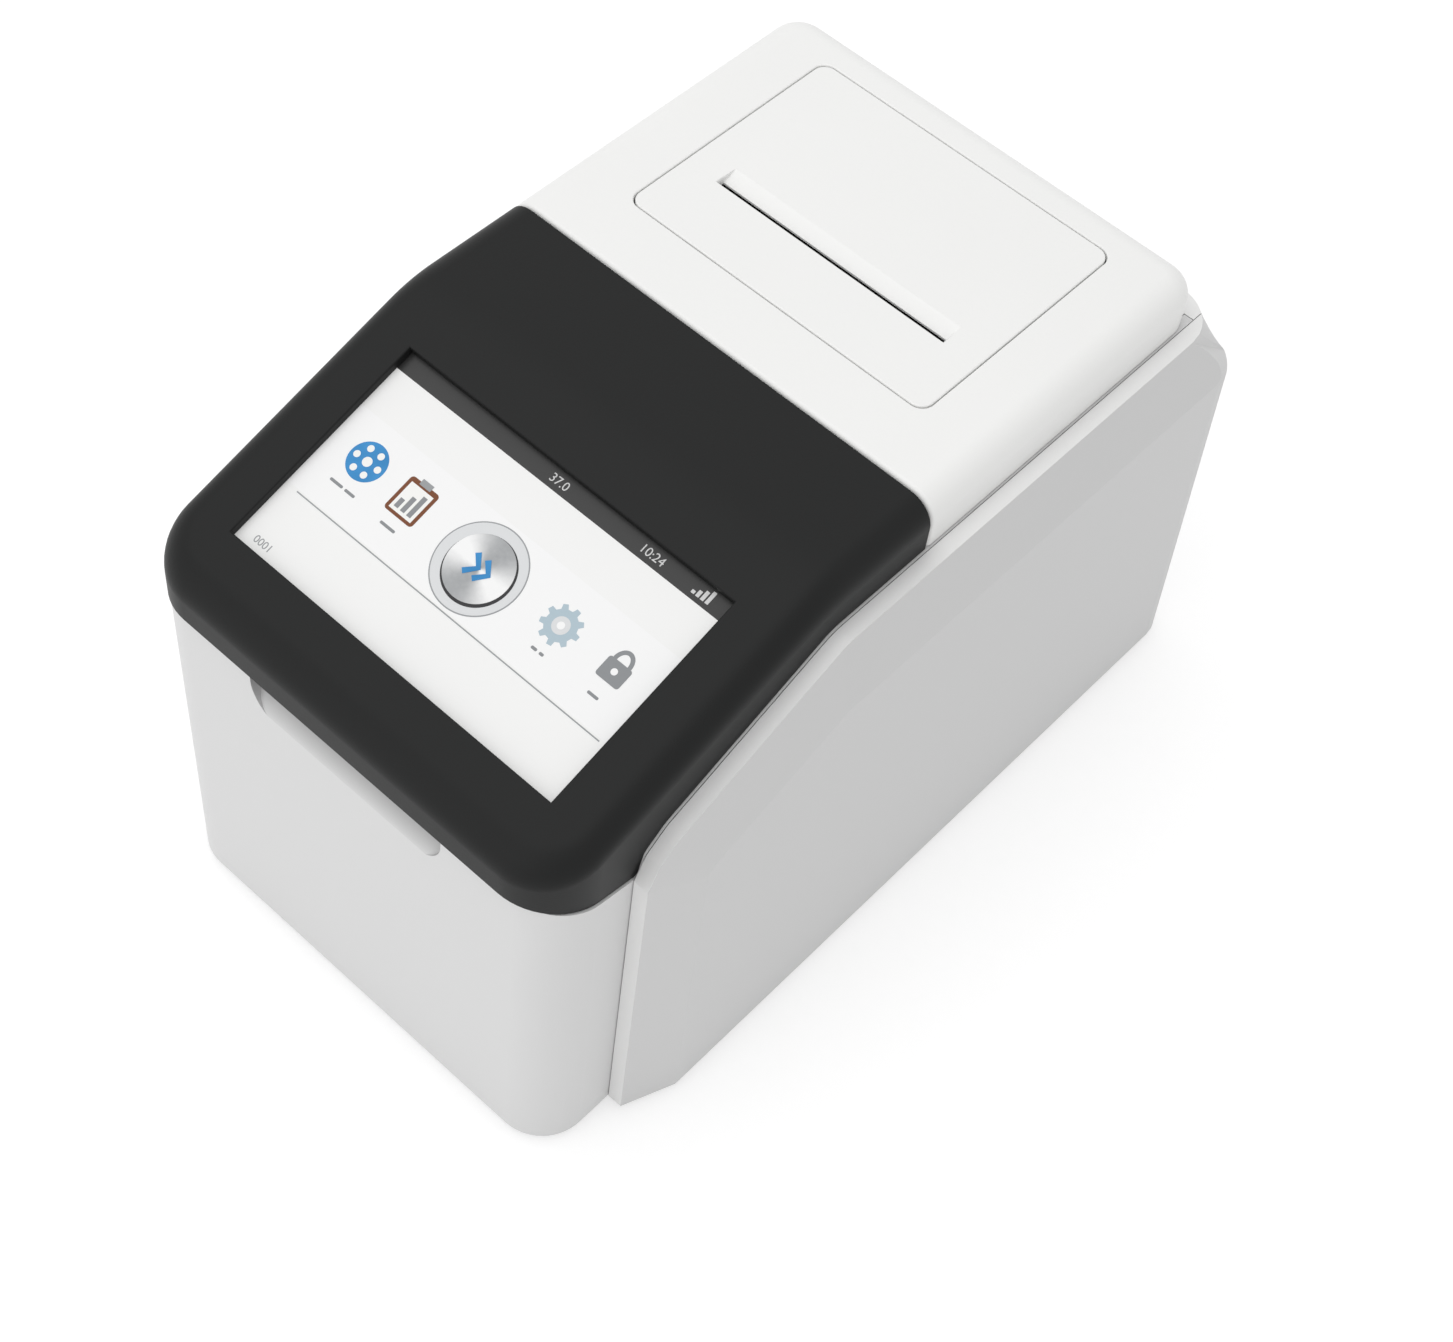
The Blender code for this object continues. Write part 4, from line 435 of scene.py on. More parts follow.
# Each finish: its maker, the material's name, its base (a colour or the name of a colour property)
# and what else the maker takes.
FINISH_TABLE = {
    "cover": (moulded, "white_cover_plastic", "cover", 0.42),
    "housing": (moulded, "white_housing_plastic", "housing", 0.42),
    # Painted shade in the finger scoop: the housing's white darkens to half between 95.2 and 105 mm height,
    # under the lid's nose.
    "scoop": (moulded, "scoop_plastic", "housing", 0.42, 0.00002, 0.025, 0.5, (0.0952, 0.1050, 0.50)),
    "panel": (moulded, "grey_panel_plastic", "panel", 0.46),
    "visor": (moulded, "dark_visor_plastic", "visor", 0.44, 0.00003, 0.025, 0.15),
    "ledge": (moulded, "white_ledge_plastic", "ledge", 0.42),
    "black": (moulded, "black_plastic", (0.016, 0.016, 0.017), 0.44, 0.00002, 0.08),
    "gear": (moulded, "acetal_gear", (0.70, 0.69, 0.62), 0.38),
    "deck": (moulded, "deck_plastic", (0.30, 0.31, 0.32), 0.5),
    "inner": (moulded, "lid_inner_plastic", (0.045, 0.046, 0.048), 0.5, 0.00002, 0.08),
    "screen": (lit, "screen_ground", "screen", 0.42),
    "band": (lit, "screen_band", "band", 0.42),
    "header": (lit, "screen_header", "header", 0.0),
    "line": (lit, "screen_line", (0.30, 0.31, 0.32)),
    "brown": (lit, "icon_brown", "brown"),
    "sheet": (lit, "icon_sheet", (0.84, 0.84, 0.82)),
    "tool": (lit, "icon_steel", "steel"),
    "pale": (lit, "icon_pale", (0.66, 0.67, 0.68)),
    "ink": (lit, "icon_ink", (0.02, 0.02, 0.022), 0.0),
    "ash": (lit, "icon_ash", (0.24, 0.25, 0.26)),
    "print": (lit, "header_print", (0.62, 0.62, 0.62)),
    "blue": (blue_finish, "icon_blue", "blue"),
    "button": (button_finish, "icon_button", (0.8, 0.8, 0.8)),
    "zinc": (plated, "zinc_plate", "metal", 0.36),
    "aluminium": (plated, "drawn_aluminium", (0.66, 0.66, 0.67), 0.34, (60, 900, 900)),
    "brass": (plated, "turned_brass", (0.62, 0.44, 0.17), 0.28, (900, 900, 60)),
    "rubber": (rubbery, "foot_rubber", (0.018, 0.018, 0.019)),
    "circuit": (circuit_finish, "solder_mask", "circuit"),
    "lens": (tube_glass, "lens_glass", (0.75, 0.85, 0.9)),
    "paper": (paper_finish, "thermal_paper", (0.86, 0.87, 0.88)),
}
FINISHES = {}


def finish_named(name):
    """The finish of that name, made once from the scene's colours."""
    if name not in FINISHES:
        maker, title, base, *rest = FINISH_TABLE[name]
        if isinstance(base, str):
            base = tuple(getattr(bpy.context.scene.analyzer_colours, base))
        FINISHES[name] = maker(title, base, *rest)
    return FINISHES[name]


def fresh(name, draft, finish="cover", smooth=radians(32), weigh=True):
    """An object made from a bmesh, smooth by angle, with its finish."""
    bmesh.ops.remove_doubles(draft, verts=draft.verts, dist=WELD)
    bmesh.ops.recalc_face_normals(draft, faces=draft.faces)
    mesh = bpy.data.meshes.new(name)
    draft.to_mesh(mesh)
    draft.free()
    if smooth:
        mesh.shade_smooth()
        mesh.set_sharp_from_angle(angle=smooth)
    obj = bpy.data.objects.new(name, mesh)
    bpy.context.scene.collection.objects.link(obj)
    for each in finish if isinstance(finish, (list, tuple)) else [finish]:
        mesh.materials.append(finish_named(each))
    if smooth and weigh:
        weights = obj.modifiers.new("weights", "WEIGHTED_NORMAL")
        weights.keep_sharp = True
    return obj


def ring_points(outline):
    """Closed outline points as vectors without repeats."""
    points = []
    for place in outline:
        point = Vector(place)
        if not points or (point - points[-1]).length > REPEAT:
            points.append(point)
    if (points[0] - points[-1]).length < REPEAT:
        points.pop()
    return points


def prism(outline, low, high, axis="Z"):
    """A bmesh prism over a 2D outline: (y, z) for X, (x, z) for Y, (x, y) for Z."""
    draft = bmesh.new()

    def order(point, level):
        """The place over a point of the outline at a level of the axis."""
        place = [point.x, point.y]
        place.insert("XYZ".index(axis), level)
        return place

    ring = [draft.verts.new(order(point, low)) for point in ring_points(outline)]
    face = draft.faces.new(ring)
    grown = bmesh.ops.extrude_face_region(draft, geom=[face])
    step = Vector(order(Vector((0, 0)), high - low))
    moved = [item for item in grown["geom"] if isinstance(item, bmesh.types.BMVert)]
    bmesh.ops.translate(draft, verts=moved, vec=step)
    bmesh.ops.recalc_face_normals(draft, faces=draft.faces)
    return draft


def block(low, high):
    """A bmesh box between two corners."""
    draft = bmesh.new()
    bmesh.ops.create_cube(draft, size=1)
    low, high = Vector(low), Vector(high)
    bmesh.ops.scale(draft, verts=draft.verts, vec=high - low)
    bmesh.ops.translate(draft, verts=draft.verts, vec=(low + high) / 2)
    return draft


def drum(radius, low, high, sides, centre):
    """A bmesh cylinder along X between two levels, its centre given as (y, z)."""
    draft = bmesh.new()
    bmesh.ops.create_cone(
        draft, cap_ends=True, segments=sides, radius1=radius, radius2=radius, depth=high - low)
    bmesh.ops.translate(draft, verts=draft.verts, vec=(0, 0, (low + high) / 2))
    bmesh.ops.transform(draft, matrix=Matrix.Rotation(pi / 2, 4, "Y"), verts=draft.verts)
    bmesh.ops.translate(draft, verts=draft.verts, vec=(0, *centre))
    return draft


def soften(draft, chosen, reach, steps=3):
    """Bevels the edges for which chosen(edge) is true."""
    draft.normal_update()
    edges = [edge for edge in draft.edges if chosen(edge)]
    if not edges:
        raise RuntimeError("no edge was chosen for a bevel")
    bmesh.ops.bevel(draft, geom=edges, offset=reach, offset_type="OFFSET", segments=steps,
                    profile=0.5, affect="EDGES", material=-1, clamp_overlap=True)
    return draft


def sharp(edge, angle=0.5):
    """True for an edge whose two faces meet at more than an angle."""
    return len(edge.link_faces) == 2 and edge.calc_face_angle(0) > angle


def merged(draft, other):
    """Adds another bmesh to a bmesh, as a separate closed body within one mesh."""
    mesh = bpy.data.meshes.new("merge")
    other.to_mesh(mesh)
    other.free()
    draft.from_mesh(mesh)
    bpy.data.meshes.remove(mesh)
    return draft


def combined(draft, other, operation="DIFFERENCE"):
    """The exact Boolean of two bmeshes, as a new bmesh."""
    pair = []
    for piece in (draft, other):
        mesh = bpy.data.meshes.new("pair")
        piece.to_mesh(mesh)
        piece.free()
        obj = bpy.data.objects.new("pair", mesh)
        bpy.context.scene.collection.objects.link(obj)
        pair.append(obj)
    body, tool = pair
    link = body.modifiers.new("combine", "BOOLEAN")
    link.object = tool
    link.operation = operation
    link.solver = "EXACT"
    graph = bpy.context.evaluated_depsgraph_get()
    result = bmesh.new()
    held = bpy.data.meshes.new_from_object(body.evaluated_get(graph))
    result.from_mesh(held)
    for obj in pair:
        mesh = obj.data
        bpy.data.objects.remove(obj)
        bpy.data.meshes.remove(mesh)
    bpy.data.meshes.remove(held)
    bmesh.ops.remove_doubles(result, verts=result.verts, dist=WELD)
    bmesh.ops.dissolve_limit(result, angle_limit=radians(0.05), verts=result.verts, edges=result.edges)
    return result


def arc(centre, radius, start, end, steps):
    """Points on an arc, angles in radians, both ends included."""
    return [
        (centre[0] + radius * cos(start + (end - start) * k / steps),
         centre[1] + radius * sin(start + (end - start) * k / steps))
        for k in range(steps + 1)
    ]


def bend(before, here, after, radius, steps):
    """The arc that rounds one corner of an outline."""
    before, here, after = Vector(before), Vector(here), Vector(after)
    first, second = (before - here).normalized(), (after - here).normalized()
    half = first.angle(second) / 2
    centre = here + (first + second).normalized() * radius / sin(half)
    a = here + first * radius * cos(half) / sin(half) - centre
    b = here + second * radius * cos(half) / sin(half) - centre
    start = atan2(a.y, a.x)
    return arc(centre, radius, start, start + atan2(a.x * b.y - a.y * b.x, a.dot(b)), steps)


def rounded(outline, radius, steps=10):
    """The outline with its corners rounded by one radius or by a list of them."""
    radii = radius if isinstance(radius, (list, tuple)) else [radius] * len(outline)
    points = []
    for k, here in enumerate(outline):
        if radii[k] == 0:
            points.append(here)
        else:
            points += bend(outline[k - 1], here, outline[(k + 1) % len(outline)], radii[k], steps)
    return points


def rectangle(x0, y0, x1, y1):
    """The four corners of a rectangle."""
    return [(x0, y0), (x1, y0), (x1, y1), (x0, y1)]


def edge_line(first, last, drop=0.0, steps=6):
    """The curved line where the lid meets the body, from a first point to a last one."""
    corners = [first] + [(y, z - drop) for y, z in EDGE_LINE] + [last]
    points = []
    for k, radius in enumerate(EDGE_RADII):
        points += bend(corners[k], corners[k + 1], corners[k + 2], radius, steps)
    return [first] + points + [last]


def nose_edge_z(y):
    """Height of the lid's lower edge over the nose."""
    share = (y + 0.0948) / (NOSE_Y + 0.0948)
    return 0.1045 + share * (NOSE_EDGE_Z - 0.1045)


def slope_z(y, sink=0.0):
    """Height of the lid's slope, or of a plane sunk below it."""
    return WINDOW_TOP.z + SLOPE * (y - WINDOW_TOP.y) - sink * hypot(1, SLOPE)


def same(first, second, slack=0.000001):
    """True for two coordinates that differ by less than the slack."""
    return abs(first - second) < slack


def upright_at(y):
    """A test for the upright edges at a place along Y."""

    def chosen(edge):
        a, b = (vertex.co for vertex in edge.verts)
        return same(a.y, y) and same(b.y, y) and same(a.x, b.x)

    return chosen


def hood(outline, half, corner_y, corner, roof, open_y):
    """A block with the side outline given, rounded at its upright corners and round its roof."""
    draft = prism(outline, -half, half, "X")

    def over(edge):
        """An edge between the roof and a side, except round the open end."""
        if all(same(vertex.co.y, open_y) for vertex in edge.verts):
            return False
        lifts = sorted(face.normal.z for face in edge.link_faces)
        return len(lifts) == 2 and lifts[0] < 0.5 < lifts[1] and lifts[0] > -0.5

    for chosen, reach, steps in ((upright_at(corner_y), corner, 14), (over, roof, 10)):
        draft.normal_update()
        edges = [edge for edge in draft.edges if chosen(edge)]
        bmesh.ops.bevel(draft, geom=edges, offset=reach, offset_type="OFFSET", segments=steps,
                        profile=0.5, affect="EDGES", material=-1, clamp_overlap=False)
    return draft


def on_slope(draft):
    """Lays a bmesh made flat, its origin at the window's upper edge and +Z out, on the lid's slope."""
    turn = Matrix.Translation(WINDOW_TOP) @ Matrix.Rotation(SLOPE_ANGLE, 4, "X")
    bmesh.ops.transform(draft, matrix=turn, verts=draft.verts)
    return draft


def on_rear(draft, u, v, w=0.0):
    """Moves a bmesh from the origin, where its outside faces +Y, to a place on the leaning rear face."""
    lean = atan2(0.014, 0.1163)
    place = (u, 0.121 - v * sin(lean) + w * cos(lean), FOOT_Z + v * cos(lean) + w * sin(lean))
    turn = Matrix.Translation(place) @ Matrix.Rotation(lean, 4, "X")
    bmesh.ops.transform(draft, matrix=turn, verts=draft.verts)
    return draft


def make_visor(sizes):
    """The dark lid: flat roof, soft crease, sloping face with the window, rounded nose."""
    rear_y = SEAM_Y - SEAM_GAP
    crease_y = WINDOW_TOP.y + (ROOF_Z - WINDOW_TOP.z) / SLOPE
    nose_top = slope_z(NOSE_Y)
    lower = edge_line((NOSE_Y, NOSE_EDGE_Z), (rear_y, COVER_LOW_Z))
    radius = sizes.crease_round / (sin(SLOPE_ANGLE / 2) / cos(SLOPE_ANGLE / 2))
    crease = bend((rear_y, ROOF_Z), (crease_y, ROOF_Z), (NOSE_Y, nose_top), radius, 10)
    outline = [(rear_y, ROOF_Z)] + crease + [(NOSE_Y, nose_top)] + lower
    draft = hood(outline, COVER_HALF, NOSE_Y, sizes.visor_corner, sizes.roof_round, rear_y)
    wall = sizes.shell
    nose, back, roof, low = NOSE_Y + wall, rear_y + 0.002, ROOF_Z - wall, 0.100
    inner_crease = WINDOW_TOP.y + (roof - slope_z(WINDOW_TOP.y, wall)) / SLOPE
    crease = bend((back, roof), (inner_crease, roof), (nose, slope_z(nose, wall)), radius - wall, 10)
    cavity = [(back, roof)] + crease + [(nose, slope_z(nose, wall)), (nose, low), (back, low)]
    inner = hood(cavity, COVER_HALF - wall, nose, sizes.visor_corner - wall, sizes.roof_round - wall, back)
    draft = combined(draft, inner)
    half = sizes.window_half
    window = on_slope(block((-half, -WINDOW_LENGTH, -2 * wall), (half, 0, 0.002)))
    draft = combined(draft, window)

    def rim(edge):
        """The window's outer edge: it lies on the slope and bounds the recess."""
        places = [vertex.co for vertex in edge.verts]
        level = all(same(p.z, slope_z(p.y), CLOSE * 2) for p in places)
        return level and all(abs(p.x) < half + CLOSE for p in places) and sharp(edge, 1.2)

    soften(draft, rim, sizes.window_round, 3)
    return fresh("visor", draft, "visor", radians(38))


def make_cover(sizes):
    """The white rear roof with the hatch's opening and the lugs that hold the hatch's pins."""
    wall = sizes.shell
    outline = rectangle(SEAM_Y, COVER_LOW_Z, COVER_REAR_Y, ROOF_Z)
    draft = hood(outline, COVER_HALF, COVER_REAR_Y, sizes.cover_corner, sizes.roof_round, SEAM_Y)

    def seam(edge):
        """An edge of the cover's open end, but not its lowest."""
        at_seam = all(same(vertex.co.y, SEAM_Y) for vertex in edge.verts)
        return at_seam and not all(same(vertex.co.z, COVER_LOW_Z) for vertex in edge.verts)

    soften(draft, seam, sizes.seam_round, 5)
    inner_outline = rectangle(SEAM_Y - 0.002, COVER_LOW_Z - 0.002, COVER_REAR_Y - wall, ROOF_Z - wall)
    inner = hood(inner_outline, COVER_HALF - wall, COVER_REAR_Y - wall, sizes.cover_corner - wall,
                 sizes.roof_round - wall, SEAM_Y - 0.002)
    draft = combined(draft, inner)
    gap = sizes.hatch_gap
    x0, y0, x1, y1 = HATCH
    opening = rounded(rectangle(x0 - gap, y0 - gap, x1 + gap, y1 + gap), sizes.hatch_corner)
    draft = combined(draft, prism(opening, ROOF_Z - 2 * wall, ROOF_Z + OVERRUN))
    reach = 2 * gap

    def mouth(edge):
        """An edge of the hatch's opening, on the roof."""
        return sharp(edge, 1.2) and all(
            same(v.co.z, ROOF_Z, CLOSE) and abs(v.co.x) < x1 + reach and y0 - reach < v.co.y < y1 + reach
            for v in edge.verts)

    soften(draft, mouth, sizes.rim, 3)
    add_lugs(draft, 0.0031, COVER_LUG, wall)
    return fresh("roof_cover", draft, "cover", radians(38))


def add_lugs(draft, eye, span, wall):
    """Adds an ear on each side for the hatch's pins."""
    for side in (-1, 1):
        low, high = sorted(side * x for x in span)
        merged(draft, lug(eye, low, high, wall))


def lug(eye, low, high, wall):
    """An ear round the hatch's axis that hangs from the skin."""
    roof = ROOF_Z - wall / 2
    y = HATCH_AXIS[0]
    lower = arc(HATCH_AXIS, eye, pi, 2 * pi, 12)
    draft = prism([(y - eye, roof)] + lower + [(y + eye, roof)], low, high, "X")
    return combined(draft, drum(PIN_HOLE, low - OVERRUN / 2, high + OVERRUN / 2, 24, HATCH_AXIS))


def make_hatch(sizes):
    """The printer's hatch with its paper slot: a dark slit with a sloping lead-out behind it."""
    wall = sizes.shell
    outline = rounded(rectangle(*HATCH), sizes.hatch_corner)
    below = ROOF_Z - wall
    draft = prism(outline, below, ROOF_Z)
    wedge = [(SLIT_FRONT, ROOF_Z + OVERRUN), (SLIT_FRONT, below - OVERRUN), (SLIT_REAR, below - OVERRUN),
             (SLIT_REAR, below + wall / 4), (SLIT_RAMP, ROOF_Z), (SLIT_RAMP, ROOF_Z + OVERRUN)]
    draft = combined(draft, prism(wedge, -SLIT_HALF, SLIT_HALF, "X"))

    def upper(edge):
        """An outer edge of the hatch's upper face."""
        return sharp(edge, 0.9) and all(same(vertex.co.z, ROOF_Z, CLOSE) for vertex in edge.verts)

    soften(draft, upper, sizes.rim, 3)
    add_lugs(draft, 0.0021, HATCH_LUG, wall)
    return fresh("hatch_cover", draft, "cover", radians(38))


def make_housing(sizes):
    """The white front housing: rounded front corners, the finger scoop, open below and behind."""
    wall = sizes.housing_wall
    front = (FRONT_Y, nose_edge_z(FRONT_Y) - SEAM_GAP)
    rear = [(y - REAR_SETBACK, z) for y, z in REAR_LINE]
    outline = [(FRONT_Y, FOOT_Z)] + edge_line(front, rear[0], SEAM_GAP) + rear[1:]
    draft = prism(outline, -BODY_HALF, BODY_HALF, "X")
    soften(draft, upright_at(FRONT_Y), sizes.housing_corner, 14)
    half = BODY_HALF - wall
    radii = [sizes.housing_corner - wall] * 2 + [0, 0]
    inner = rounded(rectangle(-half, FRONT_Y + wall, half, 0.125), radii, 12)
    draft = combined(draft, prism(inner, 0, ROOF_Z + 0.001))
    low, depth, wide = sizes.scoop_low, sizes.scoop_depth, sizes.scoop_half
    rim_z = nose_edge_z(FRONT_Y) - 2 * SEAM_GAP
    backing = [(FRONT_Y + wall / 2, low - wall), (FRONT_Y + wall / 2, rim_z), (FRONT_Y + wall, rim_z),
               (FRONT_Y + 2 * wall, RIM_TOP), (FRONT_Y + depth + wall, RIM_TOP),
               (FRONT_Y + depth + wall, low - wall + depth / 2)]
    draft = combined(draft, prism(backing, -wide - wall, wide + wall, "X"), "UNION")
    scoop = rounded(rectangle(-wide, low, wide, ROOF_Z), [sizes.scoop_corner] * 2 + [0, 0], 12)
    cutter = prism(scoop, FRONT_Y - 0.002, FRONT_Y + depth + 0.001, "Y")
    rise = [(FRONT_Y - 0.0002 + depth * t * t * (3 - 2 * t), low + SCOOP_RISE * t) for t in
            (k / 20 for k in range(21))]
    side = [(FRONT_Y - 0.003, low - 0.001), (FRONT_Y - 0.0002, low - 0.001)] + rise
    side += [(FRONT_Y + depth, ROOF_Z + 0.001), (FRONT_Y - 0.003, ROOF_Z + 0.001)]
    draft = combined(draft, combined(cutter, prism(side, -wide - 0.001, wide + 0.001, "X"), "INTERSECT"))
    draft.normal_update()
    # Faces inside the scoop take the finish with painted shade under the lid's nose.
    for face in draft.faces:
        spot = face.calc_center_median()
        inside = abs(spot.x) < wide + SEAM_GAP and FRONT_Y + CLOSE < spot.y < FRONT_Y + depth
        face.material_index = 1 if inside and low < spot.z < rim_z and face.normal.y < 0.3 else 0
    return fresh("front_housing", draft, ["housing", "scoop"], radians(38))


def make_panel(side):
    """A side slab: bright ledge, two facets and a flat main face, its rear corner rounded."""
    n = 4  # steps in each bend
    ledge = [(-0.0962, 0.1045 - SEAM_GAP)] + [(y, z - SEAM_GAP) for y, z in EDGE_LINE[1:]]
    corners = [(-0.0967, FOOT_Z)] + ledge + REAR_LINE[:1]
    inner = [corners[0]]
    for k, radius in enumerate(EDGE_RADII):
        inner += bend(corners[k], corners[k + 1], corners[k + 2], radius, n)
    inner += REAR_LINE
    main = MAIN_LINE[:1]
    main += bend(*MAIN_LINE[:3], MAIN_ROUND, 3 * n + 2)
    main += bend(*MAIN_LINE[1:], MAIN_ROUND, n)
    main += [(0.1055, 0.1188), (0.107, 0.1173), (0.121, FOOT_Z)]
    draft = bmesh.new()
    rings = []
    band, slope = 8, 16
    levels = [(PANEL_INNER + (LEDGE_HALF - PANEL_INNER) * k / band, 0.0) for k in range(band + 1)]
    levels += [(LEDGE_HALF + (PANEL_HALF - LEDGE_HALF) * k / slope, k / slope) for k in range(1, slope + 1)]
    for x, share in levels:
        setbacks = [corner_setback(x, share), corner_setback(x, 1), corner_setback(x, 1)]
        ring = []
        for k, (a, b) in enumerate(zip(inner, main)):
            y, z = (p + (q - p) * share for p, q in zip(a, b))
            y -= setbacks[k - len(inner) + 3] if k >= len(inner) - 3 else 0
            ring.append(draft.verts.new((side * x, y, z)))
        rings.append(ring)
    for number, (near, far) in enumerate(zip(rings, rings[1:])):
        for k in range(len(near)):
            face = draft.faces.new((near[k - 1], near[k], far[k], far[k - 1]))
            face.material_index = 1 if number < band and k < len(near) - 2 and k > 0 else 0
    draft.faces.new(rings[0][::-1])
    draft.faces.new(rings[-1])
    name = "right_side_panel" if side > 0 else "left_side_panel"
    return fresh(name, draft, ["panel", "ledge"], radians(5), False)


def corner_setback(x, share):
    """How far the rear face has curved forward at x: share 0 is the ledge's corner, 1 the slab's."""

    def curved(radius, edge):
        reach = min(max(radius - (edge - x), 0), radius)
        return radius - (radius ** 2 - reach ** 2) ** 0.5

    return curved(LEDGE_CORNER, LEDGE_HALF) * (1 - share) + curved(PANEL_CORNER, PANEL_HALF) * share


def make_rear_panel():
    """The rear panel, curved forward at its upper corners, with vents and cut-outs."""
    draft = bmesh.new()
    rings = []
    for x in [*REAR_COLUMNS, *(-x for x in REAR_COLUMNS[::-1])]:
        outer = [(y - corner_setback(abs(x), min(k, 1)), z) for k, (y, z) in enumerate(REAR_LINE)]
        inner = [(y - REAR_THICK, z) for y, z in outer]
        (top_y, top_z), (next_y, next_z) = inner[:2]
        lowered = top_y + (next_y - top_y) * (top_z - SHELF_Z) / (top_z - next_z)
        start = SHELF_Y if abs(x) < SHELF_HALF else REAR_LINE[0][0] - REAR_SETBACK + 0.0003
        shelf = [(max(lowered, start + 0.0002), SHELF_Z), (start, SHELF_Z), (start, LEDGE_Z)]
        rings.append([draft.verts.new((x, y, z)) for y, z in outer + inner[:0:-1] + shelf])
    for near, far in zip(rings, rings[1:]):
        for k in range(len(near)):
            draft.faces.new((near[k - 1], near[k], far[k], far[k - 1]))
    draft.faces.new(rings[0][::-1])
    draft.faces.new(rings[-1])
    bmesh.ops.recalc_face_normals(draft, faces=draft.faces)
    holes = list(REAR_HOLES)
    (fan_u, fan_v), (vent_u, vent_v) = VENT_PLACES
    for k in range(VENT_SLOTS):
        offset = (2 * k + 1 - VENT_SLOTS) * VENT_RADIUS / VENT_SLOTS
        holes.append(((fan_u, fan_v + offset), ((VENT_RADIUS ** 2 - offset ** 2) ** 0.5, VENT_HALF)))
        holes.append(((vent_u, vent_v + offset), (VENT_RADIUS, VENT_HALF)))
    for (u, v), (half_u, half_v) in holes:
        radius = half_v * (0.98 if half_v == VENT_HALF else 0.12)
        outline = rounded(rectangle(-half_u, -half_v, half_u, half_v), radius, 5)
        draft = combined(draft, on_rear(prism(outline, -0.006, 0.003, "Y"), u, v))
    for face in draft.faces:
        face.material_index = 1 if face.normal.z > 0.99 and face.calc_center_median().z > 0.136 else 0
    return fresh("rear_cover", draft, ["panel", "ledge"], radians(20))


GLASS_TOP = -0.0025
LAYER = 0.00003


def flat(outline, level, thick=LAYER):
    """A thin plate on the display: outline points in millimetres across and down the slope."""
    points = [(x / 1000, -d / 1000) for x, d in outline]
    low = GLASS_TOP + level * LAYER
    return on_slope(prism(points, low, low + thick))


def oval(x, d, wide, tall=None, start=0.0, end=2 * pi, steps=40):
    """Points of an ellipse on the display, in millimetres."""
    tall = wide if tall is None else tall
    last = steps if end - start == 2 * pi else steps + 1
    angles = [start + (end - start) * k / steps for k in range(last)]
    return [(x + wide * cos(angle), d + tall * sin(angle)) for angle in angles]


def stroke(path, width):
    """A bar of even width along a path on the display, with round ends."""
    left, right = [], []
    for k, here in enumerate(path):
        here = Vector(here)
        before, after = Vector(path[max(k - 1, 0)]), Vector(path[min(k + 1, len(path) - 1)])
        along = (after - before).normalized()
        normal = Vector((-along.y, along.x)) * width / 2
        left.append(tuple(here + normal))
        right.append(tuple(here - normal))
    return left + right[::-1]


def inlay(name, outlines, level, finish):
    """One object made of several flat outlines at one level of the display."""
    draft = bmesh.new()
    for outline in outlines:
        merged(draft, flat(outline, level))
    return fresh(name, draft, finish, 0)


def make_screen():
    """The touch screen: dark glass, header bar, lit ground, band and rule."""
    low = GLASS_TOP - 0.0018
    draft = on_slope(block((-0.0515, -WINDOW_LENGTH - 0.0035, low), (0.0515, 0.0035, GLASS_TOP)))
    glass = fresh("screen_glass", draft, "header", 0)
    end = WINDOW_LENGTH * 1000
    return [
        glass,
        inlay("screen_ground", [rectangle(-48.5, 4.8, 48.5, end + 0.5)], 0, "screen"),
        inlay("screen_band", [rectangle(-48.5, 16, 48.5, 39.3)], 1, "band"),
        inlay("screen_rule", [rectangle(-44.5, 39.75, 46, 40.05)], 2, "line"),
    ]


def gear_wheel(x, d, outer, inner, teeth):
    """A toothed outline for the settings icon."""
    points = []
    for k in range(teeth):
        middle = 2 * pi * k / teeth
        for step, reach in ((-0.30, inner), (-0.17, outer), (0.17, outer), (0.30, inner)):
            angle = middle + step * 2 * pi / teeth
            points.append((x + reach * cos(angle), d + reach * sin(angle)))
    return points


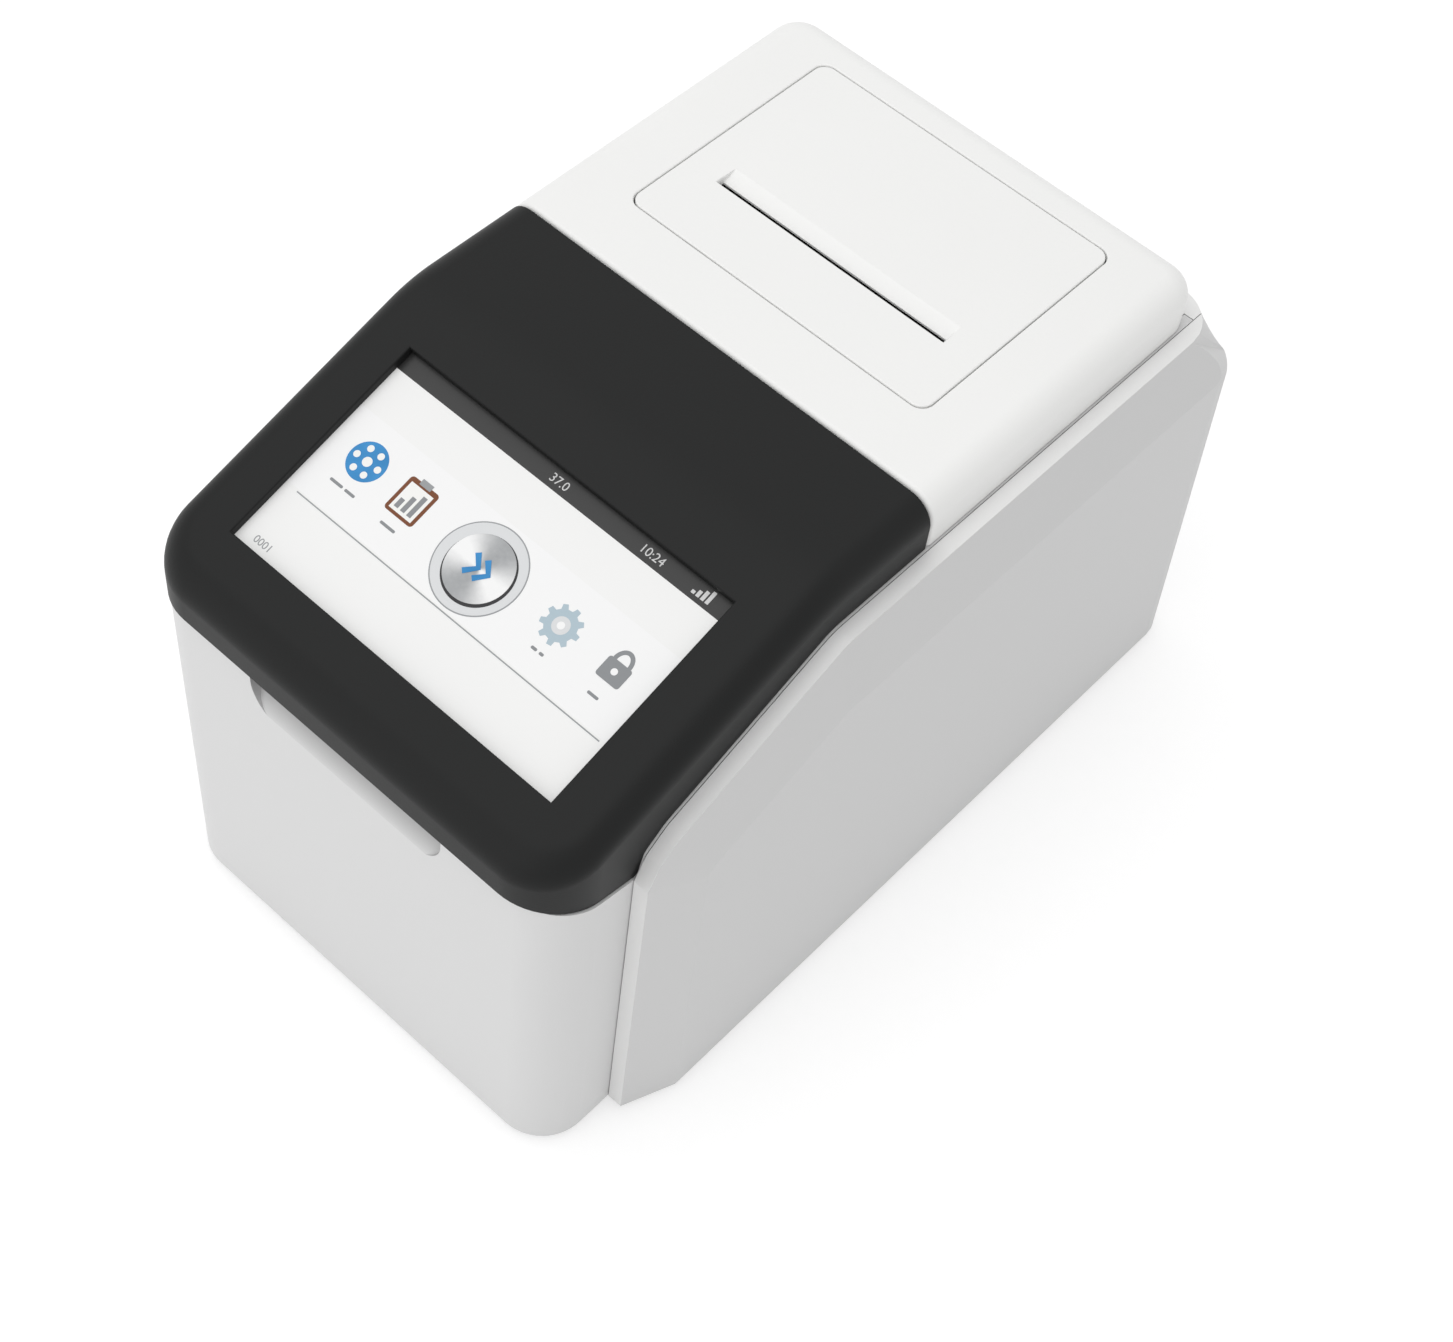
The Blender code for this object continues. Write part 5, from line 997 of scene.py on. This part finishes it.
def make_icons():
    """Five generic icons: sample disc, chart sheet, start button, wheel and padlock."""
    x, d = -37.2, 25.2
    turns = [k * pi / 3 for k in range(6)]
    wells = [oval(x + 3.2 * cos(angle), d + 3.2 * sin(angle), 0.85, steps=20) for angle in turns]
    disc = [
        inlay("disc_icon", [oval(x, d, 4.9)], 2, "blue"),
        inlay("disc_icon_wells", wells + [oval(x, d, 1.2, steps=24)], 3, "sheet"),
    ]
    x, d = -22.8, 25.7
    board = rounded(rectangle(x - 4.2, d - 4.6, x + 4.2, d + 4.8), 0.9, 5)
    chart = [
        inlay("chart_icon_board", [board], 2, "brown"),
        inlay("chart_icon_sheet", [rectangle(x - 3.3, d - 3.4, x + 3.3, d + 4.0)], 3, "sheet"),
        inlay("chart_icon_bars", [rectangle(x - 2.5 + 1.9 * k, d + 3.2 - h, x - 1.3 + 1.9 * k, d + 3.2)
                                  for k, h in enumerate((2.4, 4.1, 5.6))], 4, "ash"),
        inlay("chart_icon_clip", [rectangle(x - 1.6, d - 5.4, x + 1.6, d - 3.9)], 4, "line"),
    ]
    x, d = -0.3, 27.9
    arrows = [stroke([(left, d - 2.6), (left + 2.4, d), (left, d + 2.6)], 1.4)
              for left in (x - 2.6, x + 0.3)]
    button = [
        inlay("start_button_edge", [oval(x, d, 11.0, steps=72)], 2, "line"),
        inlay("start_button_rim", [oval(x, d, 10.7, steps=72)], 3, "pale"),
        inlay("start_button_well", [oval(x + 0.3, d + 0.3, 8.5, steps=72)], 4, "ink"),
        domed_button(x, d),
        inlay("start_button_mark", arrows, 8, "blue"),
    ]
    x, d = 22.3, 26.3
    wheel = [
        inlay("wheel_icon", [gear_wheel(x, d, 4.9, 3.8, 9)], 2, "tool"),
        inlay("wheel_icon_hub", [oval(x, d, 2.1, steps=28)], 3, "pale"),
        inlay("wheel_icon_bore", [oval(x, d, 0.9, steps=20)], 4, "band"),
    ]
    x, d = 38.1, 25.6
    lock = [
        inlay("lock_icon_bow", [stroke(oval(x, d - 1.2, 2.0, 2.6, pi, 2 * pi, 20), 1.0)], 2, "ash"),
        inlay("lock_icon_body", [rounded(rectangle(x - 3.2, d - 1.2, x + 3.2, d + 3.9), 0.7, 5)], 3, "ash"),
        inlay("lock_icon_hole", [oval(x, d + 1.2, 0.8, steps=20)], 4, "band"),
    ]
    captions = [
        (-37.2, 33.0, (3.8, 3.0)), (-22.8, 33.4, (4.4,)), (22.3, 33.6, (1.6, 1.2)), (38.1, 33.4, (3.0,))]
    rows = []
    for x, d, widths in captions:
        left = x - (sum(widths) + 0.7 * (len(widths) - 1)) / 2
        for width in widths:
            rows.append(rounded(rectangle(left, d - 0.35, left + width, d + 0.35), 0.3, 4))
            left += width + 0.7
    return disc + chart + button + wheel + lock + [inlay("icon_captions", rows, 2, "ash")]


def domed_button(x, d):
    """The start button's brushed disc, slightly domed, with a UV map centred on it."""
    draft = bmesh.new()
    profile = [(8.2, 0.0), (8.1, 0.00006), (7.8, 0.00009), (0.0, 0.00010)]
    ring = [draft.verts.new((r / 1000, 0, h)) for r, h in profile]
    edges = [draft.edges.new(pair) for pair in zip(ring, ring[1:])]
    bmesh.ops.spin(draft, geom=ring + edges, cent=(0, 0, 0), axis=(0, 0, 1), angle=2 * pi, steps=72)
    bmesh.ops.remove_doubles(draft, verts=draft.verts, dist=1e-7)
    layer = draft.loops.layers.uv.new("round")
    for face in draft.faces:
        for loop in face.loops:
            loop[layer].uv = (loop.vert.co.x / 0.024 + 0.5, loop.vert.co.y / 0.024 + 0.5)
    bmesh.ops.translate(draft, verts=draft.verts, vec=(x / 1000, -d / 1000, GLASS_TOP + 3 * LAYER))
    return fresh("start_button_disc", on_slope(draft), "button", radians(60), False)


def figures(name, text, x, d, size, finish):
    """Plain figures on the display, made a mesh."""
    curve = bpy.data.curves.new(name, "FONT")
    curve.body = text
    curve.size = size / 1000
    curve.align_x = "CENTER"
    curve.align_y = "CENTER"
    curve.extrude = LAYER / 2
    held = bpy.data.objects.new(name, curve)
    bpy.context.scene.collection.objects.link(held)
    graph = bpy.context.evaluated_depsgraph_get()
    mesh = bpy.data.meshes.new_from_object(held.evaluated_get(graph))
    bpy.data.objects.remove(held)
    bpy.data.curves.remove(curve)
    draft = bmesh.new()
    draft.from_mesh(mesh)
    bpy.data.meshes.remove(mesh)
    bmesh.ops.translate(draft, verts=draft.verts, vec=(x / 1000, -d / 1000, GLASS_TOP + 1.5 * LAYER))
    return fresh(name, on_slope(draft), finish, 0)


def make_header():
    """The header's figures for temperature and time, its bars, and the footer's number."""
    bars = [rectangle(38.4 + 1.3 * k, 3.6 - 0.8 * (k + 1), 39.3 + 1.3 * k, 3.6) for k in range(4)]
    return [
        figures("header_temperature", "37.0", -0.6, 2.5, 3.0, "print"),
        figures("header_clock", "10:24", 26.6, 2.5, 3.0, "print"),
        figures("footer_number", "0001", -41.5, 53.4, 2.6, "line"),
        inlay("header_bars", bars, 1, "print"),
    ]


def make_roll():
    """The roll of receipt paper on its hollow core."""
    roll = drum(0.0165, -0.0285, 0.0285, 72, ROLL_PLACE)
    roll = combined(roll, drum(0.006, -0.03, 0.03, 48, ROLL_PLACE))
    return fresh("receipt_roll", roll, "paper", radians(30))


CAD_FINISH = {
    "white_shell": "housing", "white_cover": "cover", "grey_panel": "panel", "dark_visor": "inner",
    "display_face": "header", "lens_glass": "lens", "steel_plate": "zinc", "bare_aluminium": "aluminium",
    "brass": "brass", "foot_rubber": "rubber", "black_plastic": "black", "gear_plastic": "gear",
    "circuit_board": "circuit", "deck_plastic": "deck", "paper": "paper",
}


def dress_cad():
    """Gives each CAD node that stays in view the finish of its material slot."""
    for row in frame["record"]["subparts"]:
        materials = frame["nodes"][row["node"]].data.materials
        materials.clear()
        materials.append(finish_named(CAD_FINISH[row["material_slot"]]))


def show(pieces, body, replaced=()):
    """Puts pieces on a CAD body, and hides the CAD nodes that they stand for."""
    for obj in pieces if isinstance(pieces, list) else [pieces]:
        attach(obj, body)
        if replaced:
            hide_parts(*replaced)


class ANALYZER_OT_shells(bpy.types.Operator):
    """Model the outer shells: front housing, side panels, roof cover, hatch and visor"""

    bl_idname = "analyzer.shells"
    bl_label = "Add Shells"

    def execute(self, context):
        sizes = context.scene.analyzer_sizes
        show(make_housing(sizes), "housing", ["lower_housing"])
        show(make_panel(1), "housing", ["side_panel_right"])
        show(make_panel(-1), "housing", ["side_panel_left"])
        show(make_rear_panel(), "housing", ["rear_panel"])
        show(make_cover(sizes), "housing", ["top_cover"])
        show(make_hatch(sizes), "hatch", ["printer_hatch"])
        show(make_visor(sizes), "lid", ["lid_shell"])
        return {"FINISHED"}


class ANALYZER_OT_display(bpy.types.Operator):
    """Model the touch screen with its header bar, band and icons"""

    bl_idname = "analyzer.display"
    bl_label = "Add Display"

    def execute(self, context):
        screen = make_screen()
        show(screen[0], "lid", ["touch_glass"])
        show(screen[1:] + make_icons() + make_header(), "lid")
        return {"FINISHED"}


class ANALYZER_OT_fittings(bpy.types.Operator):
    """Model the receipt roll and give every other piece its finish"""

    bl_idname = "analyzer.fittings"
    bl_label = "Add Fittings"

    def execute(self, context):
        dress_cad()
        show(make_roll(), "paper_roll", ["paper_roll"])
        return {"FINISHED"}


def aim(obj, target):
    """Turns an object so that its -Z axis points at a place."""
    obj.rotation_euler = (Vector(target) - obj.location).to_track_quat("-Z", "Y").to_euler()


def lamp(name, place, power, size, target=(0, 0, 0.08)):
    """A soft rectangular lamp aimed at the instrument."""
    data = bpy.data.lights.new(name, "AREA")
    data.energy = power
    data.size = size
    obj = bpy.data.objects.new(name, data)
    obj.location = place
    bpy.context.scene.collection.objects.link(obj)
    aim(obj, target)
    return obj


def white_world(settings):
    """Even light for the surfaces and plain white for the camera, for mirrors and through glass."""
    world = bpy.data.worlds.new("studio")
    bpy.context.scene.world = world
    world.use_nodes = True
    tree = world.node_tree
    tree.nodes.clear()
    soft, plain = (tree.nodes.new("ShaderNodeBackground") for _ in range(2))
    soft.inputs["Color"].default_value = (1, 1, 1, 1)
    soft.inputs["Strength"].default_value = settings.sky
    plain.inputs["Color"].default_value = (1, 1, 1, 1)
    plain.inputs["Strength"].default_value = 1.0
    blend(tree, seen_ray(tree), soft, plain, tree.nodes.new("ShaderNodeOutputWorld"))


def blend(tree, share, first, second, out):
    """Sends two shaders, mixed by a share, to an output node."""
    mixer = tree.nodes.new("ShaderNodeMixShader")
    for socket, wire in zip(mixer.inputs, (share, first.outputs[0], second.outputs[0])):
        tree.links.new(wire, socket)
    tree.links.new(mixer.outputs[0], out.inputs["Surface"])


def make_floor():
    """A wide pale floor that keeps the instrument's soft shadow and runs out into white."""
    draft = bmesh.new()
    bmesh.ops.create_grid(draft, x_segments=1, y_segments=1, size=3.0)
    floor = fresh("floor", draft, [], 0)
    material = bpy.data.materials.new("studio_floor")
    material.use_nodes = True
    tree = material.node_tree
    shader = tree.nodes["Principled BSDF"]
    shader.inputs["Base Color"].default_value = FLOOR_TONE
    shader.inputs["Roughness"].default_value = 1.0
    shader.inputs["Specular IOR Level"].default_value = 0.0
    plain = tree.nodes.new("ShaderNodeEmission")
    plain.inputs["Color"].default_value = (1, 1, 1, 1)
    plain.inputs["Strength"].default_value = FLOOR_GLOW
    share = tree.nodes.new("ShaderNodeMath")
    share.operation = "MULTIPLY"
    share.inputs[1].default_value = FLOOR_GLOW_SHARE
    tree.links.new(seen_ray(tree), share.inputs[0])
    blend(tree, share.outputs[0], shader, plain, tree.nodes["Material Output"])
    floor.data.materials.append(material)
    return floor


def seen_ray(tree):
    """A socket that is 1 for camera, glossy and transmission rays."""
    path = tree.nodes.new("ShaderNodeLightPath")
    last = path.outputs["Is Camera Ray"]
    for name in ("Is Glossy Ray", "Is Transmission Ray"):
        either = tree.nodes.new("ShaderNodeMath")
        either.operation = "MAXIMUM"
        tree.links.new(last, either.inputs[0])
        tree.links.new(path.outputs[name], either.inputs[1])
        last = either.outputs[0]
    return last


class ANALYZER_OT_stage(bpy.types.Operator):
    """Set up the camera, lamps, floor and white surroundings"""

    bl_idname = "analyzer.stage"
    bl_label = "Add Stage"

    def execute(self, context):
        scene = context.scene
        settings = scene.analyzer_stage
        az, el, roll = settings.azimuth, settings.elevation, settings.roll
        back = Vector((sin(az) * cos(el), -cos(az) * cos(el), sin(el)))
        ahead = -back
        right = ahead.cross(Vector((0, 0, 1))).normalized()
        up = right.cross(ahead)
        tilted_right = right * cos(roll) + up * sin(roll)
        tilted_up = up * cos(roll) - right * sin(roll)
        place = Vector(settings.target) + back * settings.distance
        camera_data = bpy.data.cameras.new("camera")
        camera_data.lens = settings.lens
        camera_data.sensor_width = SENSOR_WIDTH
        camera_data.clip_start = 0.01
        camera_data.clip_end = 50
        camera = bpy.data.objects.new("camera", camera_data)
        scene.collection.objects.link(camera)
        turn = Matrix((tilted_right, tilted_up, back)).transposed().to_4x4()
        camera.matrix_world = Matrix.Translation(place) @ turn
        scene.camera = camera
        scene.view_settings.view_transform = "Standard"
        floor = make_floor()
        key = lamp("key_lamp", KEY_PLACE, settings.key, KEY_SIZE)
        fill = lamp("fill_lamp", FILL_PLACE, settings.fill, FILL_SIZE)
        white_world(settings)
        return {"FINISHED"}


class ANALYZER_PT_panel(bpy.types.Panel):
    """Sizes and colours of the analyzer"""

    bl_label = "Analyzer"
    bl_idname = "ANALYZER_PT_panel"
    bl_space_type = "VIEW_3D"
    bl_region_type = "UI"
    bl_category = "Analyzer"

    def draw(self, context):
        for group in GROUPS:
            held = getattr(context.scene, group)
            column = self.layout.column(align=True)
            column.label(text=group.split("_")[1].title())
            for name in held.__annotations__:
                column.prop(held, name)
        for operator in OPERATORS:
            self.layout.operator(operator.bl_idname)


GROUPS = {
    "analyzer_sizes": AnalyzerSizes,
    "analyzer_colours": AnalyzerColours,
    "analyzer_stage": StageSettings,
}
OPERATORS = (ANALYZER_OT_shells, ANALYZER_OT_display, ANALYZER_OT_fittings, ANALYZER_OT_stage)


def register():
    for name, group in GROUPS.items():
        bpy.utils.register_class(group)
        setattr(bpy.types.Scene, name, PointerProperty(type=group))
    for operator in OPERATORS:
        bpy.utils.register_class(operator)
    bpy.utils.register_class(ANALYZER_PT_panel)


def unregister():
    bpy.utils.unregister_class(ANALYZER_PT_panel)
    for operator in reversed(OPERATORS):
        bpy.utils.unregister_class(operator)
    for name, group in GROUPS.items():
        delattr(bpy.types.Scene, name)
        bpy.utils.unregister_class(group)


def main():
    register()
    for name in ("shells", "display", "fittings", "stage"):
        if getattr(bpy.ops.analyzer, name)() != {"FINISHED"}:
            raise RuntimeError(f"{name} didn't finish")
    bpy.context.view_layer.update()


if __name__ == "__main__":
    main()
